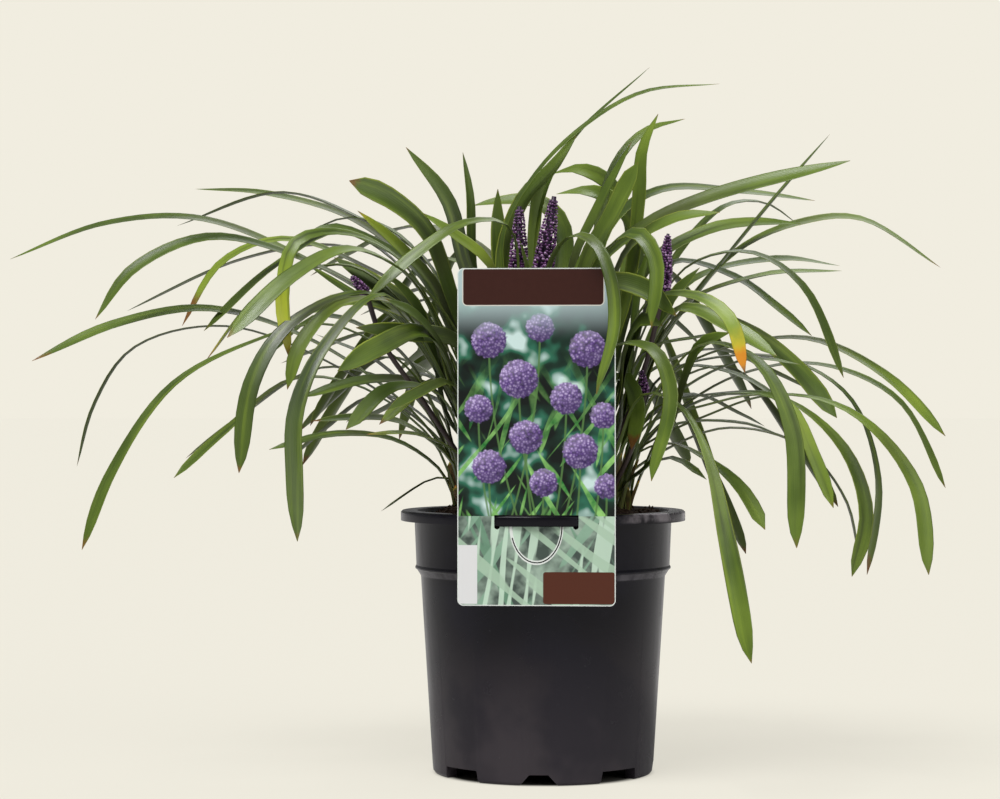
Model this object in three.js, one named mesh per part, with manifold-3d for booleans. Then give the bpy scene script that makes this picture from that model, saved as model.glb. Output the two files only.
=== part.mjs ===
// A flowering lilyturf (liriope) in its nursery pot, with the plant card hung on the rim.
// Millimetres, +Z up. The origin is the middle of the pot's foot, on the surface that it stands on.
// The card faces -Y.

import * as THREE from "three";
import { mergeVertices } from "three/addons/utils/BufferGeometryUtils.js";
import Module from "manifold-3d";

const wasm = await Module();
wasm.setup();

// ---- driving dimensions ----

const pot = {
  height: 156,
  rimRadius: 85,          // outer edge of the down-turned rim
  rimDrop: 6,             // how far the rim turns down
  rimThickness: 1.6,
  rimBevel: 1,
  wall: 1.7,
  collarTop: 77,          // outer radius of the collar under the rim
  collarBottom: 75.6,
  collarFoot: 122,        // height of the collar's lower edge
  ledgeFoot: 117,         // height where the body starts below the ledge
  bodyTop: 73,
  bodyBottom: 65.8,
  footRing: 58,           // inner radius of the foot
  footBevel: { width: 1.2, height: 1.6 },
  floorHeight: 5,         // underside of the floor above the surface
  floorThickness: 2.5,
  padRadius: 16,          // middle pad that also stands on the surface
  segments: 32,
  notchTurn: -3,          // degrees, the first notch's bearing from +X
  notches: 8,
  archNotch: { foot: 22, head: 11, height: 6.2 },
  wideNotch: { foot: 28, head: 26, height: 7 },
  notchRadius: 62,        // middle of the notches' cutters
  notchReach: 14,         // and their radial size
  drainHole: 4,           // radius
  drainCircle: 48,        // radius of the circle of drain holes
  drainCutter: 12,        // length of the drains' cutters
};

const gap = 0.3;          // between pieces that touch

const soil = {
  edgeHeight: 152.9,
  mound: 7.9,             // how much higher the middle is than the edge
  lump: 2.6,              // height of the lumps
  rings: 5,
  aboveLedge: 1,          // where the side turns upright, above the collar's foot
  lowEdge: 4,             // the edge keeps clear of the pot's wall as far down as this
};

const holeHeight = 40;    // of the cutters for what stands in the soil

const crown = {
  inner: 20,              // where a tuft's innermost leaf stands, from the pot's axis
  outer: 52,              // and its outermost
  innerHalfWidth: 3.2,
  outerHalfWidth: 6,
  innerPoint: 3,          // how far its ends run out beyond them
  outerPoint: 5,
  rowOffset: 0.38,        // the two rows of leaves from its middle line, as a share of the half width
  bottom: 147,
  top: 161.5,
  leafFoot: 151,          // height at which the leaves are rooted in it
};

const leaf = {
  top: 0.5,               // channel's bottom above the middle line
  keel: 0.75,             // keel below the middle line
  channel: 0.12,          // how far the edges rise, as a share of the half width
  footHalfWidth: 1.3,
  // Where a blade starts to widen, is widest and starts to narrow to its tip, as shares of its
  // length, for a leaf that keeps its tip up and for one that hangs.
  spread: [0.05, 0.36],
  widest: [0.68, 0.88],
  taper: [0.76, 0.9],
  bluntFrom: 14.5,        // a leaf as wide as this has a blunt tip,
  bluntTaper: 0.9,        // and starts to narrow here
  hanging: 0.2,           // fall of a hanging tip below the crest, as a share of the length
  tipWidth: 0.08,         // at the very tip, as a share of the full width
  firstRoll: [0.5, 0.15], // share of its roll that the blade has at its foot, for the same two
  rollPower: [1, 2],      // and how late it takes up the rest
  shoulder: 0.45,         // where the foot's stretch bends, as a share of it
  shoulderLift: 0.1,      // how far it bends upwards there
  spanLength: 54,
  spans: [4, 8],
};

const card = {
  width: 90,
  height: 192,
  bottom: 104.7,
  thickness: 0.8,
  distance: 81.7,         // its back face from the pot's axis
  turn: -3.5,             // degrees round the pot's axis
  corner: 3.4,
  slotHalfWidth: 24,
  slotBottom: 149.7,
  slotTop: 156.3,
  slotLobe: 1.6,          // radius of the round cuts under the slot's ends
  tongueHalfWidth: 14.5,
  tongueDepth: 20.5,
  tongueTurn: 162,        // degrees of its curve that are cut
  cut: 0.7,               // width of that cut
};

// Leaves and flower stems are laid out on an upright board through the pot's axis, by where an
// eye in front of the pot sees them against it. Each point is then moved along its line of sight
// to its own depth, which is negative towards the eye.
const eye = { x: -26, z: 222, distance: 1600 };
const climbShare = 0.35;  // how much a leaf's climb adds to its depth, against what its run adds

// One row a leaf: depth of its tip, width, roll in degrees that turns its upper face to the
// front, and its points on the board from near the foot to the tip.
// In each tuft the outermost and lowest leaf comes first. `spare` leaves follow by rule.
const tufts = [
  {
    name: "tuft_left", bearing: 180, leaves: [
      [10, 4.5, 10, [-56, 175], [-68, 174], [-83, 165], [-97, 155]],
      [-10, 7.5, 40, [-62, 180], [-90, 198], [-125, 201], [-164, 192]],
      [-15, 8, 45, [-68, 200], [-110, 230], [-150, 234], [-190, 203], [-221, 175]],
      [30, 6, 10, [-70, 215], [-100, 245], [-136, 261]],
      [10, 7, 30, [-85, 250], [-133, 272], [-163, 249]],
      [60, 7.5, 8, [-62, 198], [-120, 240], [-190, 266], [-245, 253], [-268, 220], [-279, 182]],
      [-25, 10, 35, [-86, 222], [-140, 258], [-200, 276], [-255, 267], [-306, 245]],
      [-20, 12, 50, [-71, 264], [-110, 282], [-150, 272]],
      [20, 12, 60, [-74, 271], [-100, 291], [-125, 307]],
      [20, 9, 20, [-70, 262], [-115, 302], [-165, 288], [-202, 245]],
      [-20, 9, 40, [-75, 290], [-120, 322], [-160, 302], [-203, 263]],
      [-40, 9, 50, [-90, 275], [-147, 307], [-200, 319], [-245, 300], [-268, 270]],
      [45, 9.5, 30, [-90, 272], [-147, 308], [-206, 330], [-262, 327], [-319, 306]],
      [-15, 9, 45, [-75, 298], [-105, 318], [-128, 325], [-148, 317]],
    ],
  },
  {
    name: "tuft_left_front", bearing: 203, leaves: [
      [-45, 9, 30, [-55, 185], [-85, 208], [-110, 211], [-138, 209]],
      [-42, 9, 45, [-66, 228], [-100, 234], [-146, 223]],
      [-75, 8.5, 50, [-80, 240], [-128, 267], [-175, 256], [-222, 230], [-258, 178], [-276, 132]],
      [12, 8, 50, [-75, 280], [-110, 303], [-155, 318], [-192, 304], [-216, 266]],
      [-40, 10.5, 60, [-62, 285], [-90, 317], [-111, 335]],
      [-35, 10.5, 60, [-31, 300], [-55, 322], [-73, 334]],
      [-50, 11, 60, [-58, 212], [-66, 248], [-76, 278], [-94, 298]],
      [-55, 14.5, 75, [-55, 282], [-70, 322], [-92, 342], [-116, 353]],
    ],
  },
  {
    name: "tuft_front_left", bearing: 227, leaves: [
      [-88, 7, 20, [-49, 188], [-75, 201], [-106, 201]],
      [-100, 9, 60, [-62, 225], [-91, 229], [-118, 204]],
      [-95, 7, 60, [-55, 232], [-75, 226], [-93, 216]],
      [-75, 7, 50, [-50, 222], [-64, 233], [-82, 221], [-98, 207]],
      [-85, 12, 75, [-50, 255], [-85, 262], [-112, 265]],
      [-120, 12, 75, [-70, 262], [-100, 253], [-123, 239]],
      [-105, 9, 50, [-59, 255], [-90, 280], [-122, 279], [-145, 255], [-153, 228]],
      [-150, 10, 70, [-95, 285], [-130, 255], [-148, 215], [-149, 175], [-147, 137]],
      [-95, 11, 60, [-53, 234], [-62, 255], [-77, 273], [-94, 282]],
      [-110, 10, 70, [-100, 285], [-150, 268], [-174, 232], [-182, 178]],
      [-130, 11, 45, [-55, 268], [-85, 300], [-116, 312], [-150, 296], [-189, 259]],
      [-90, 8, 80, [-85, 305], [-120, 322], [-148, 316], [-156, 285], [-152, 247]],
      [-70, 8, 50, [-20, 325], [-45, 328], [-75, 310], [-105, 283]],
    ],
  },
  {
    name: "tuft_front", bearing: 268, leaves: [
      [-64, 10.5, 60, [-14, 220], [-30, 270], [-44, 292]],
      [-66, 10.5, 60, [8, 215], [22, 262], [33, 290]],
      [-52, 10.5, 70, [-4, 240], [-8, 290], [-14, 318]],
      [-54, 10.5, 60, [4, 230], [14, 280], [24, 312]],
      [-132, 8.5, 60, [4, 302], [17, 320], [31, 316], [41, 294], [43, 264], [32, 225]],
    ],
  },
  {
    name: "tuft_front_right", bearing: 312, leaves: [
      [-60, 10.5, 75, [40, 235], [50, 235], [57, 215], [53, 192]],
      [-120, 11, 75, [40, 252], [66, 252], [77, 225], [65, 173]],
      [-150, 11.5, 80, [60, 225], [82, 218], [98, 190], [110, 140], [125, 64]],
      [-110, 8, 60, [62, 280], [92, 284], [112, 270], [121, 238]],
      [-130, 10.5, 80, [95, 255], [128, 245], [149, 205], [152, 133]],
      [-70, 12, 70, [46, 204], [48, 231], [53, 252], [60, 268]],
      [-100, 12, 70, [35, 290], [62, 288], [80, 272]],
      [-85, 12, 70, [46, 222], [50, 252], [60, 270], [72, 266]],
      [-110, 10, 70, [30, 300], [55, 322], [68, 305], [65, 265]],
      [-50, 14.5, 80, [25, 300], [42, 333], [57, 364]],
    ],
  },
  {
    name: "tuft_right_front", bearing: 338, leaves: [
      [-60, 10.5, 40, [52, 186], [75, 196], [98, 186], [118, 169], [133, 144]],
      [-100, 8, 60, [65, 215], [100, 225], [144, 221], [163, 186], [174, 157]],
      [-50, 10.5, 60, [60, 205], [95, 218], [139, 224], [178, 195], [193, 155], [185, 116]],
      [-85, 10.5, 55, [55, 190], [97, 212], [140, 225], [185, 214], [222, 172], [231, 117]],
      [-90, 7, 15, [80, 225], [122, 246], [154, 243]],
      [-60, 7, 20, [60, 250], [91, 259], [113, 262]],
      [-75, 11, 70, [64, 183], [77, 204], [86, 236], [95, 255], [112, 262]],
      [-80, 10.5, 50, [80, 276], [114, 265], [140, 248]],
      [-40, 12.5, 70, [85, 275], [120, 265], [150, 242], [176, 211]],
      [-55, 9.5, 35, [70, 282], [90, 304], [124, 310], [155, 290], [180, 235]],
      [-45, 12, 70, [49, 210], [54, 252], [58, 288], [65, 317]],
      [-60, 10.5, 55, [50, 310], [78, 330], [106, 334]],
      [-20, 10.5, 60, [18, 300], [34, 338], [53, 376]],
    ],
  },
  {
    name: "tuft_right", bearing: 2, leaves: [
      [-20, 7, 20, [55, 177], [77, 187], [98, 174]],
      [20, 7, 10, [75, 205], [119, 208], [146, 199]],
      [0, 9, 30, [80, 240], [118, 236], [158, 208]],
      [30, 9.5, 60, [70, 235], [110, 248], [150, 245], [184, 222], [200, 175], [194, 117]],
      [-20, 10.5, 40, [73, 234], [110, 253], [160, 258], [205, 236], [241, 200]],
      [-10, 11, 50, [58, 222], [67, 252], [77, 282], [94, 301]],
      [-35, 9, 25, [80, 275], [130, 296], [179, 299]],
      [10, 10.5, 40, [75, 303], [115, 295], [140, 277], [161, 260]],
      [-10, 9, 10, [65, 248], [90, 282], [130, 332], [172, 381]],
      [50, 8.5, 35, [86, 278], [118, 312], [155, 328], [190, 330], [238, 301]],
      [20, 10.5, 40, [62, 300], [98, 323], [127, 328], [156, 327]],
      [-30, 12.5, 50, [32, 298], [60, 325], [100, 343], [184, 365]],
      [-5, 10.5, 65, [52, 290], [58, 342], [60, 372], [69, 393]],
    ],
  },
  {
    name: "tuft_right_back", bearing: 28, spare: 3, leaves: [
      [40, 6, 10, [75, 210], [103, 224], [135, 225]],
      [90, 9, 40, [70, 190], [110, 205], [155, 194], [181, 162], [189, 129]],
      [60, 9, 55, [80, 215], [118, 237], [165, 243], [212, 222], [241, 169]],
      [75, 9, 25, [85, 290], [140, 306], [178, 302]],
      [90, 7, 20, [75, 300], [108, 337], [132, 340], [154, 326]],
      [60, 10.5, 30, [40, 325], [70, 347], [120, 346], [163, 341]],
      [60, 6, 50, [40, 355], [60, 382], [85, 390]],
    ],
  },
  {
    name: "tuft_back_right", bearing: 62, spare: 7, leaves: [
      [80, 10.5, 60, [58, 312], [44, 341], [27, 347], [8, 345]],
      [100, 11, 60, [54, 318], [42, 350], [22, 360], [5, 357]],
    ],
  },
  {
    name: "tuft_back", bearing: 94, spare: 9, leaves: [
      [60, 10.5, 60, [12, 325], [-2, 340], [-26, 341], [-42, 338]],
    ],
  },
  { name: "tuft_back_left", bearing: 126, spare: 10, leaves: [] },
  {
    name: "tuft_left_back", bearing: 155, spare: 5, leaves: [
      [45, 7, 40, [-80, 265], [-112, 284], [-141, 303]],
      [90, 10.5, 10, [-80, 295], [-122, 314], [-180, 306], [-249, 275]],
      [50, 6, 5, [-80, 315], [-115, 331], [-145, 320]],
      [80, 7.5, 3, [-70, 305], [-109, 330], [-156, 346], [-219, 326]],
      [110, 9, 25, [-68, 292], [-110, 328], [-165, 345], [-208, 348]],
    ],
  },
  {
    name: "tuft_middle", bearing: 90, inner: -6, outer: 9, halfWidth: 6, leaves: [
      [20, 10.5, 70, [-25, 300], [-27, 330], [-27, 348]],
      [30, 7.5, 30, [-41, 290], [-44, 345], [-48, 370]],
      [15, 9.5, 70, [-47, 303], [-57, 341], [-82, 373]],
      [12, 9.5, 60, [-24, 305], [-12, 342], [3, 358], [20, 380]],
      [10, 4.5, 35, [-24, 318], [-5, 356], [25, 386], [60, 406], [106, 411]],
      [25, 9, 75, [-6, 318], [-1, 352], [7, 363], [22, 384]],
      [40, 4, 10, [-6, 300], [2, 348], [20, 380], [64, 421]],
    ],
  },
];

// Leaves by rule, for the side that faces away from the eye.
const spareLeaf = {
  seed: 282,
  spread: 13,             // degrees either side of the tuft's bearing
  lean: 0.7,              // power that bends it from its foot to its heading
  reach: [150, 255],
  crest: [225, 335],      // height of the arch
  riseAt: 0.28,           // shares of the reach at which it has risen, arches, falls and ends
  crestAt: 0.66,
  fallAt: 0.88,
  riseBelow: 26,          // how far below the crest it has risen
  fall: 0.55,             // share of the drop where it falls
  drop: [15, 120],        // from the crest down to the tip, for a reach of dropReach
  dropReach: 200,
  dropPower: 1.5,
  lowestTip: 95,
  roll: [-10, 20],
  width: [8.5, 12.5],
};

// Flower stems: foot on the soil, depth of the head, its radius at its foot, its number of whorls,
// its tip, and the points on the board that the stem takes up to the head's foot.
const flowers = [
  { foot: [-11, -9], depth: -22, radius: 6.4, whorls: 10, tip: [-14, 339], path: [[-14, 215], [-15, 272]] },
  { foot: [9, -9], depth: -40, radius: 6.8, whorls: 10, tip: [7, 345], path: [[0, 215], [-4, 275]] },
  { foot: [27, -19], depth: -60, radius: 4.2, whorls: 8, tip: [75, 322], path: [[56, 225], [72, 285]] },
  {
    foot: [-37, -26], depth: -66, radius: 3, whorls: 4, tip: [-115, 296],
    path: [[-71, 220], [-95, 255], [-106, 286]],
  },
  { foot: [39, -28], depth: -50, radius: 2.8, whorls: 4, tip: [59, 240], path: [[52, 190], [61, 225]] },
];

const stem = {
  radius: 1.5,
  headGap: 0.5,
  holeGap: 0.7,
  upright: 18,            // height above its hole's floor up to which it stands straight
  steps: 8,
};

const head = {
  floretsPerWhorl: 5,
  firstRow: 0.4,          // height of the lowest ring of corners, in rows
  taper: 0.6,             // how much the spike narrows towards its tip
  groove: 0.56,           // radius between florets, as a share of the radius over them
};

// ---- materials ----

function material(color, roughness) {
  return new THREE.MeshStandardMaterial({ color, roughness, metalness: 0 });
}

const blackPlastic = material(0x26262c, 0.42);
const darkPeat = material(0x32231c, 0.95);
const leafGreen = material(0x46602c, 0.5);
const stemPurple = material(0x33202e, 0.55);
const floretPurple = material(0x5a2c78, 0.6);
const printedCard = material(0x4f7a5a, 0.35);

// ---- helpers ----

const degrees = Math.PI / 180;

// Repeatable numbers from 0 to 1.
function randomFrom(seed) {
  let state = seed;
  return () => {
    state = (state * 16807) % 2147483647;
    return state / 2147483647;
  };
}

function between([low, high], share) {
  return low + (high - low) * share;
}

function smooth(low, high, value) {
  const t = Math.min(1, Math.max(0, (value - low) / (high - low)));
  return t * t * (3 - 2 * t);
}

function meshData(positions, triangles) {
  const geometry = new THREE.BufferGeometry();
  geometry.setAttribute("position", new THREE.Float32BufferAttribute(positions, 3));
  geometry.setIndex(triangles);
  return geometry;
}

function toSolid(geometry) {
  const bare = geometry.clone();
  bare.deleteAttribute("normal");
  bare.deleteAttribute("uv");
  const merged = mergeVertices(bare, 1e-4);
  return new wasm.Manifold(new wasm.Mesh({
    numProp: 3,
    vertProperties: new Float32Array(merged.attributes.position.array),
    triVerts: new Uint32Array(merged.index.array),
  }));
}

function fromSolid(solid) {
  const mesh = solid.getMesh();
  return meshData(Array.from(mesh.vertProperties), Array.from(mesh.triVerts));
}

function joined(geometries) {
  return geometries.map(toSolid).reduce((whole, next) => whole.add(next));
}

// The outer shell of a joined solid: hollows that the joining sealed are filled by this.
function outerShell(solid) {
  const shells = solid.decompose();
  return shells.reduce((best, next) => (next.volume() > best.volume() ? next : best));
}

function lathe(profile, segments) {
  const geometry = new THREE.LatheGeometry(profile.map(([r, z]) => new THREE.Vector2(r, z)), segments);
  return geometry.rotateX(Math.PI / 2);
}

// Moves a point of the board along its line of sight to the depth y.
function fromBoard([x, z], y) {
  const grow = 1 + y / eye.distance;
  return new THREE.Vector3(eye.x + (x - eye.x) * grow, y, eye.z + (z - eye.z) * grow);
}

// Board points from a foot to a tip, with the depth growing along the way.
function route(foot, boardPoints, depth) {
  const flat = [[foot.x, foot.z], ...boardPoints];
  const run = [0];
  for (let i = 1; i < flat.length; i += 1) {
    const aside = flat[i][0] - flat[i - 1][0];
    const climb = flat[i][1] - flat[i - 1][1];
    run.push(run[i - 1] + Math.hypot(aside, climbShare * climb));
  }
  const total = run[run.length - 1];
  return boardPoints.map((point, i) => fromBoard(point, foot.y + (depth - foot.y) * run[i + 1] / total));
}

// ---- pot ----

function potShell() {
  const top = pot.height;
  const { width, height } = pot.footBevel;
  const underRim = top - pot.rimThickness;
  const inside = (radius) => radius - pot.wall;
  const floorTop = pot.floorHeight + pot.floorThickness;
  const profile = [
    [0, 0], [pot.padRadius, 0], [pot.padRadius, pot.floorHeight],
    [pot.footRing, pot.floorHeight], [pot.footRing, 0],
    [pot.bodyBottom - width, 0], [pot.bodyBottom, height],
    [pot.bodyTop, pot.ledgeFoot], [pot.collarBottom, pot.collarFoot],
    [pot.collarTop, underRim], [inside(pot.rimRadius), underRim],
    [inside(pot.rimRadius), top - pot.rimDrop], [pot.rimRadius, top - pot.rimDrop],
    [pot.rimRadius, top - pot.rimBevel], [pot.rimRadius - pot.rimBevel, top], [inside(pot.collarTop), top],
    [inside(pot.collarBottom), pot.collarFoot], [inside(pot.bodyTop), pot.ledgeFoot],
    [inside(pot.bodyBottom), floorTop], [0, floorTop],
  ];
  return lathe(profile, pot.segments);
}

function potNotches() {
  const cutters = [];
  for (let i = 0; i < pot.notches; i += 1) {
    const { foot, head, height } = i % 2 === 0 ? pot.archNotch : pot.wideNotch;
    const bearing = (pot.notchTurn + 360 * i / pot.notches) * degrees;
    const outline = new THREE.Shape([
      new THREE.Vector2(-foot / 2, -height), new THREE.Vector2(foot / 2, -height),
      new THREE.Vector2(foot / 2, 0), new THREE.Vector2(head / 2, height),
      new THREE.Vector2(-head / 2, height), new THREE.Vector2(-foot / 2, 0),
    ]);
    const notch = new THREE.ExtrudeGeometry(outline, { depth: pot.notchReach, bevelEnabled: false });
    notch.rotateX(Math.PI / 2);
    notch.rotateZ(Math.PI / 2);
    notch.translate(pot.notchRadius - pot.notchReach / 2, 0, 0);
    notch.rotateZ(bearing);
    cutters.push(notch);
    const drain = new THREE.CylinderGeometry(pot.drainHole, pot.drainHole, pot.drainCutter, 6);
    drain.rotateX(Math.PI / 2);
    drain.translate(pot.drainCircle, 0, pot.floorHeight);
    drain.rotateZ(bearing);
    cutters.push(drain);
  }
  return cutters;
}

function potGeometry() {
  return fromSolid(toSolid(potShell()).subtract(joined(potNotches())));
}

// ---- soil ----

function soilHeight(radius, angle) {
  const mound = soil.mound * (1 - (radius / pot.bodyTop) ** 2);
  const waves = [
    Math.sin(3 * angle + radius / 9),
    Math.sin(7 * angle - radius / 6),
    Math.sin(5 * angle + radius / 3.1),
  ];
  return soil.edgeHeight + mound + soil.lump * (waves[0] + waves[1] + waves[2]) / 3;
}

// The pot's inside, less the gap, with a lumpy top of rings about the axis.
function soilBody() {
  const lean = (low, high, z0, z1) => (z) => low + (high - low) * (z - z0) / (z1 - z0);
  const inset = pot.wall + gap;
  const floor = pot.floorHeight + pot.floorThickness + gap;
  const collarRadius = lean(pot.collarBottom, pot.collarTop, pot.collarFoot, pot.height);
  const sideLevels = [
    [pot.bodyBottom - inset, floor],
    [pot.bodyTop - inset, pot.ledgeFoot],
    [pot.collarBottom - inset, pot.collarFoot + soil.aboveLedge],
  ];
  const positions = [0, 0, floor];
  const rows = [];
  const ring = (radius, heightAt) => {
    const row = [];
    for (let k = 0; k < pot.segments; k += 1) {
      const angle = 2 * Math.PI * k / pot.segments;
      row.push(positions.length / 3);
      positions.push(radius * Math.cos(angle), radius * Math.sin(angle), heightAt(angle));
    }
    rows.push(row);
  };
  sideLevels.forEach(([radius, z]) => ring(radius, () => z));
  const edge = collarRadius(soil.edgeHeight - soil.lowEdge) - inset;
  for (let i = 0; i < soil.rings; i += 1) {
    const radius = edge * (1 - i / soil.rings);
    ring(radius, (angle) => soilHeight(radius, angle));
  }
  const centre = positions.length / 3;
  positions.push(0, 0, soilHeight(0, 0));

  const triangles = [];
  const count = pot.segments;
  for (let k = 0; k < count; k += 1) {
    const next = (k + 1) % count;
    triangles.push(0, rows[0][next], rows[0][k]);
    for (let i = 1; i < rows.length; i += 1) {
      triangles.push(rows[i - 1][k], rows[i - 1][next], rows[i][next]);
      triangles.push(rows[i - 1][k], rows[i][next], rows[i][k]);
    }
    triangles.push(rows[rows.length - 1][k], rows[rows.length - 1][next], centre);
  }
  return meshData(positions, triangles);
}

function soilGeometry() {
  const holes = tufts.map((tuft) => crownPrism(tuft, gap, holeHeight));
  const radius = stem.radius + stem.holeGap;
  flowers.forEach(({ foot }) => {
    const hole = new THREE.CylinderGeometry(radius, radius, holeHeight, 6);
    hole.rotateX(Math.PI / 2);
    hole.translate(foot[0], foot[1], crown.bottom - gap + holeHeight / 2);
    holes.push(hole);
  });
  return fromSolid(toSolid(soilBody()).subtract(joined(holes)));
}

// ---- leaf tufts ----

function crownSpan(tuft) {
  return { inner: tuft.inner ?? crown.inner, outer: tuft.outer ?? crown.outer };
}

function crownHalfWidth(tuft, radius) {
  if (tuft.halfWidth) return tuft.halfWidth;
  const share = Math.min(1, Math.max(0, (radius - crown.inner) / (crown.outer - crown.inner)));
  return crown.innerHalfWidth + (crown.outerHalfWidth - crown.innerHalfWidth) * share;
}

// The tuft's crown: a low prism with a six-sided outline that widens away from the axis.
// `grow` widens it, and `rise` lifts its top, for the hole that it stands in.
function crownPrism(tuft, grow, rise) {
  const { inner, outer } = crownSpan(tuft);
  const outline = new THREE.Shape([
    new THREE.Vector2(inner - crown.innerPoint - grow, 0),
    new THREE.Vector2(inner, -crownHalfWidth(tuft, inner) - grow),
    new THREE.Vector2(outer, -crownHalfWidth(tuft, outer) - grow),
    new THREE.Vector2(outer + crown.outerPoint + grow, 0),
    new THREE.Vector2(outer, crownHalfWidth(tuft, outer) + grow),
    new THREE.Vector2(inner, crownHalfWidth(tuft, inner) + grow),
  ]);
  const depth = crown.top - crown.bottom + grow + rise;
  const prism = new THREE.ExtrudeGeometry(outline, { depth, bevelEnabled: false });
  prism.translate(0, 0, crown.bottom - grow);
  return prism.rotateZ(tuft.bearing * degrees);
}

// Where leaf number `index` of `count` is rooted: in two rows along the crown.
function leafFoot(tuft, index, count) {
  const { inner, outer } = crownSpan(tuft);
  const radius = outer - (outer - inner) * index / Math.max(1, count - 1);
  const row = index % 2 === 0 ? crown.rowOffset : -crown.rowOffset;
  const foot = new THREE.Vector3(radius, row * crownHalfWidth(tuft, radius), crown.leafFoot);
  return foot.applyAxisAngle(new THREE.Vector3(0, 0, 1), tuft.bearing * degrees);
}

// A strap blade: it widens from the foot, narrows to the tip, and is a shallow channel with a keel.
// A leaf that hangs is widest nearer to its tip.
function bladeGeometry(points, width, roll) {
  const foot = points[0];
  const rise = points[1].clone().sub(foot);
  const shoulder = foot.clone().addScaledVector(rise, leaf.shoulder);
  shoulder.z += leaf.shoulderLift * rise.length();
  const curve = new THREE.CatmullRomCurve3([foot, shoulder, ...points.slice(1)]);
  const [fewest, most] = leaf.spans;
  const length = curve.getLength();
  const spans = Math.min(most, Math.max(fewest, Math.round(length / leaf.spanLength)));

  const tip = points[points.length - 1];
  const crest = Math.max(...points.map((point) => point.z));
  const hang = smooth(0, leaf.hanging, (crest - tip.z) / length);
  const spread = between(leaf.spread, hang);
  const widest = between(leaf.widest, hang);
  const taper = width >= leaf.bluntFrom ? leaf.bluntTaper : between(leaf.taper, hang);
  const firstRoll = between(leaf.firstRoll, hang);
  const rollPower = between(leaf.rollPower, hang);

  const out = tip.clone().sub(foot).setZ(0).normalize();
  const level = new THREE.Vector3(-out.y, out.x, 0);
  const hand = level.y > 0 ? -1 : 1;
  level.multiplyScalar(hand);

  const positions = [];
  for (let i = 0; i <= spans; i += 1) {
    const t = i / spans;
    const middle = curve.getPointAt(t);
    const along = curve.getTangentAt(t);
    const across = level.clone().addScaledVector(along, -level.dot(along)).normalize();
    const up = along.clone().cross(across).multiplyScalar(hand);
    const turn = roll * degrees * between([firstRoll, 1], t ** rollPower);
    const side = across.clone().multiplyScalar(Math.cos(turn)).addScaledVector(up, -Math.sin(turn));
    const normal = up.clone().multiplyScalar(Math.cos(turn)).addScaledVector(across, Math.sin(turn));
    const widened = between([leaf.footHalfWidth, width / 2], smooth(spread, widest, t));
    const narrow = 1 - (1 - leaf.tipWidth) * Math.max(0, (t - taper) / (1 - taper)) ** 2;
    const half = widened * narrow;
    const thick = (1 + narrow) / 2;
    [
      [half, leaf.channel * half], [0, leaf.top * thick],
      [-half, leaf.channel * half], [0, -leaf.keel * thick],
    ].forEach(([s, n]) => {
      const corner = middle.clone().addScaledVector(side, s).addScaledVector(normal, n);
      positions.push(corner.x, corner.y, corner.z);
    });
  }
  const triangles = [];
  const face = (a, b, c) => triangles.push(...(hand > 0 ? [a, c, b] : [a, b, c]));
  for (let i = 0; i < spans; i += 1) {
    for (let k = 0; k < 4; k += 1) {
      const a = 4 * i + k;
      const b = 4 * i + (k + 1) % 4;
      face(a, b + 4, b);
      face(a, a + 4, b + 4);
    }
  }
  const last = 4 * spans;
  face(0, 1, 2);
  face(0, 2, 3);
  face(last, last + 2, last + 1);
  face(last, last + 3, last + 2);
  return meshData(positions, triangles);
}

// Points of an arching leaf that stands in a tuft on the far side, from low to high with `rank`.
function sparePoints(foot, bearing, rank, random) {
  const heading = (bearing + spareLeaf.spread * (2 * random() - 1)) * degrees;
  const reach = between(spareLeaf.reach, random());
  const crest = between(spareLeaf.crest, rank);
  const drop = between(spareLeaf.drop, random() ** spareLeaf.dropPower) * reach / spareLeaf.dropReach;
  const tip = Math.max(spareLeaf.lowestTip, crest - drop);
  const start = Math.hypot(foot.x, foot.y);
  const levels = [
    [spareLeaf.riseAt, crest - spareLeaf.riseBelow],
    [spareLeaf.crestAt, crest],
    [spareLeaf.fallAt, between([crest, tip], spareLeaf.fall)],
    [1, tip],
  ];
  return levels.map(([share, z]) => {
    const radius = start + (reach - start) * share;
    const lean = share ** spareLeaf.lean;
    const x = foot.x * (1 - lean) + radius * Math.cos(heading) * lean;
    const y = foot.y * (1 - lean) + radius * Math.sin(heading) * lean;
    return new THREE.Vector3(x, y, z);
  });
}

function tuftBlades(tuft) {
  const spare = tuft.spare ?? 0;
  const count = tuft.leaves.length + spare;
  const blades = [];
  const random = randomFrom(spareLeaf.seed + tuft.bearing);
  for (let i = 0; i < spare; i += 1) {
    const foot = leafFoot(tuft, i, count);
    const points = sparePoints(foot, tuft.bearing, (i + random()) / count, random);
    const width = between(spareLeaf.width, random());
    blades.push(bladeGeometry([foot, ...points], width, between(spareLeaf.roll, random())));
  }
  tuft.leaves.forEach(([depth, width, roll, ...board], i) => {
    const foot = leafFoot(tuft, spare + i, count);
    blades.push(bladeGeometry([foot, ...route(foot, board, depth)], width, roll));
  });
  return blades;
}

function tuftGeometry(tuft) {
  return fromSolid(outerShell(joined([crownPrism(tuft, 0, 0), ...tuftBlades(tuft)])));
}

// ---- flowers ----

function flowerRoute({ foot, depth, path, tip }) {
  const ground = new THREE.Vector3(foot[0], foot[1], crown.bottom);
  const points = route(ground, [...path, tip], depth);
  return { ground, stalk: points.slice(0, -1), tip: points[points.length - 1] };
}

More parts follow.
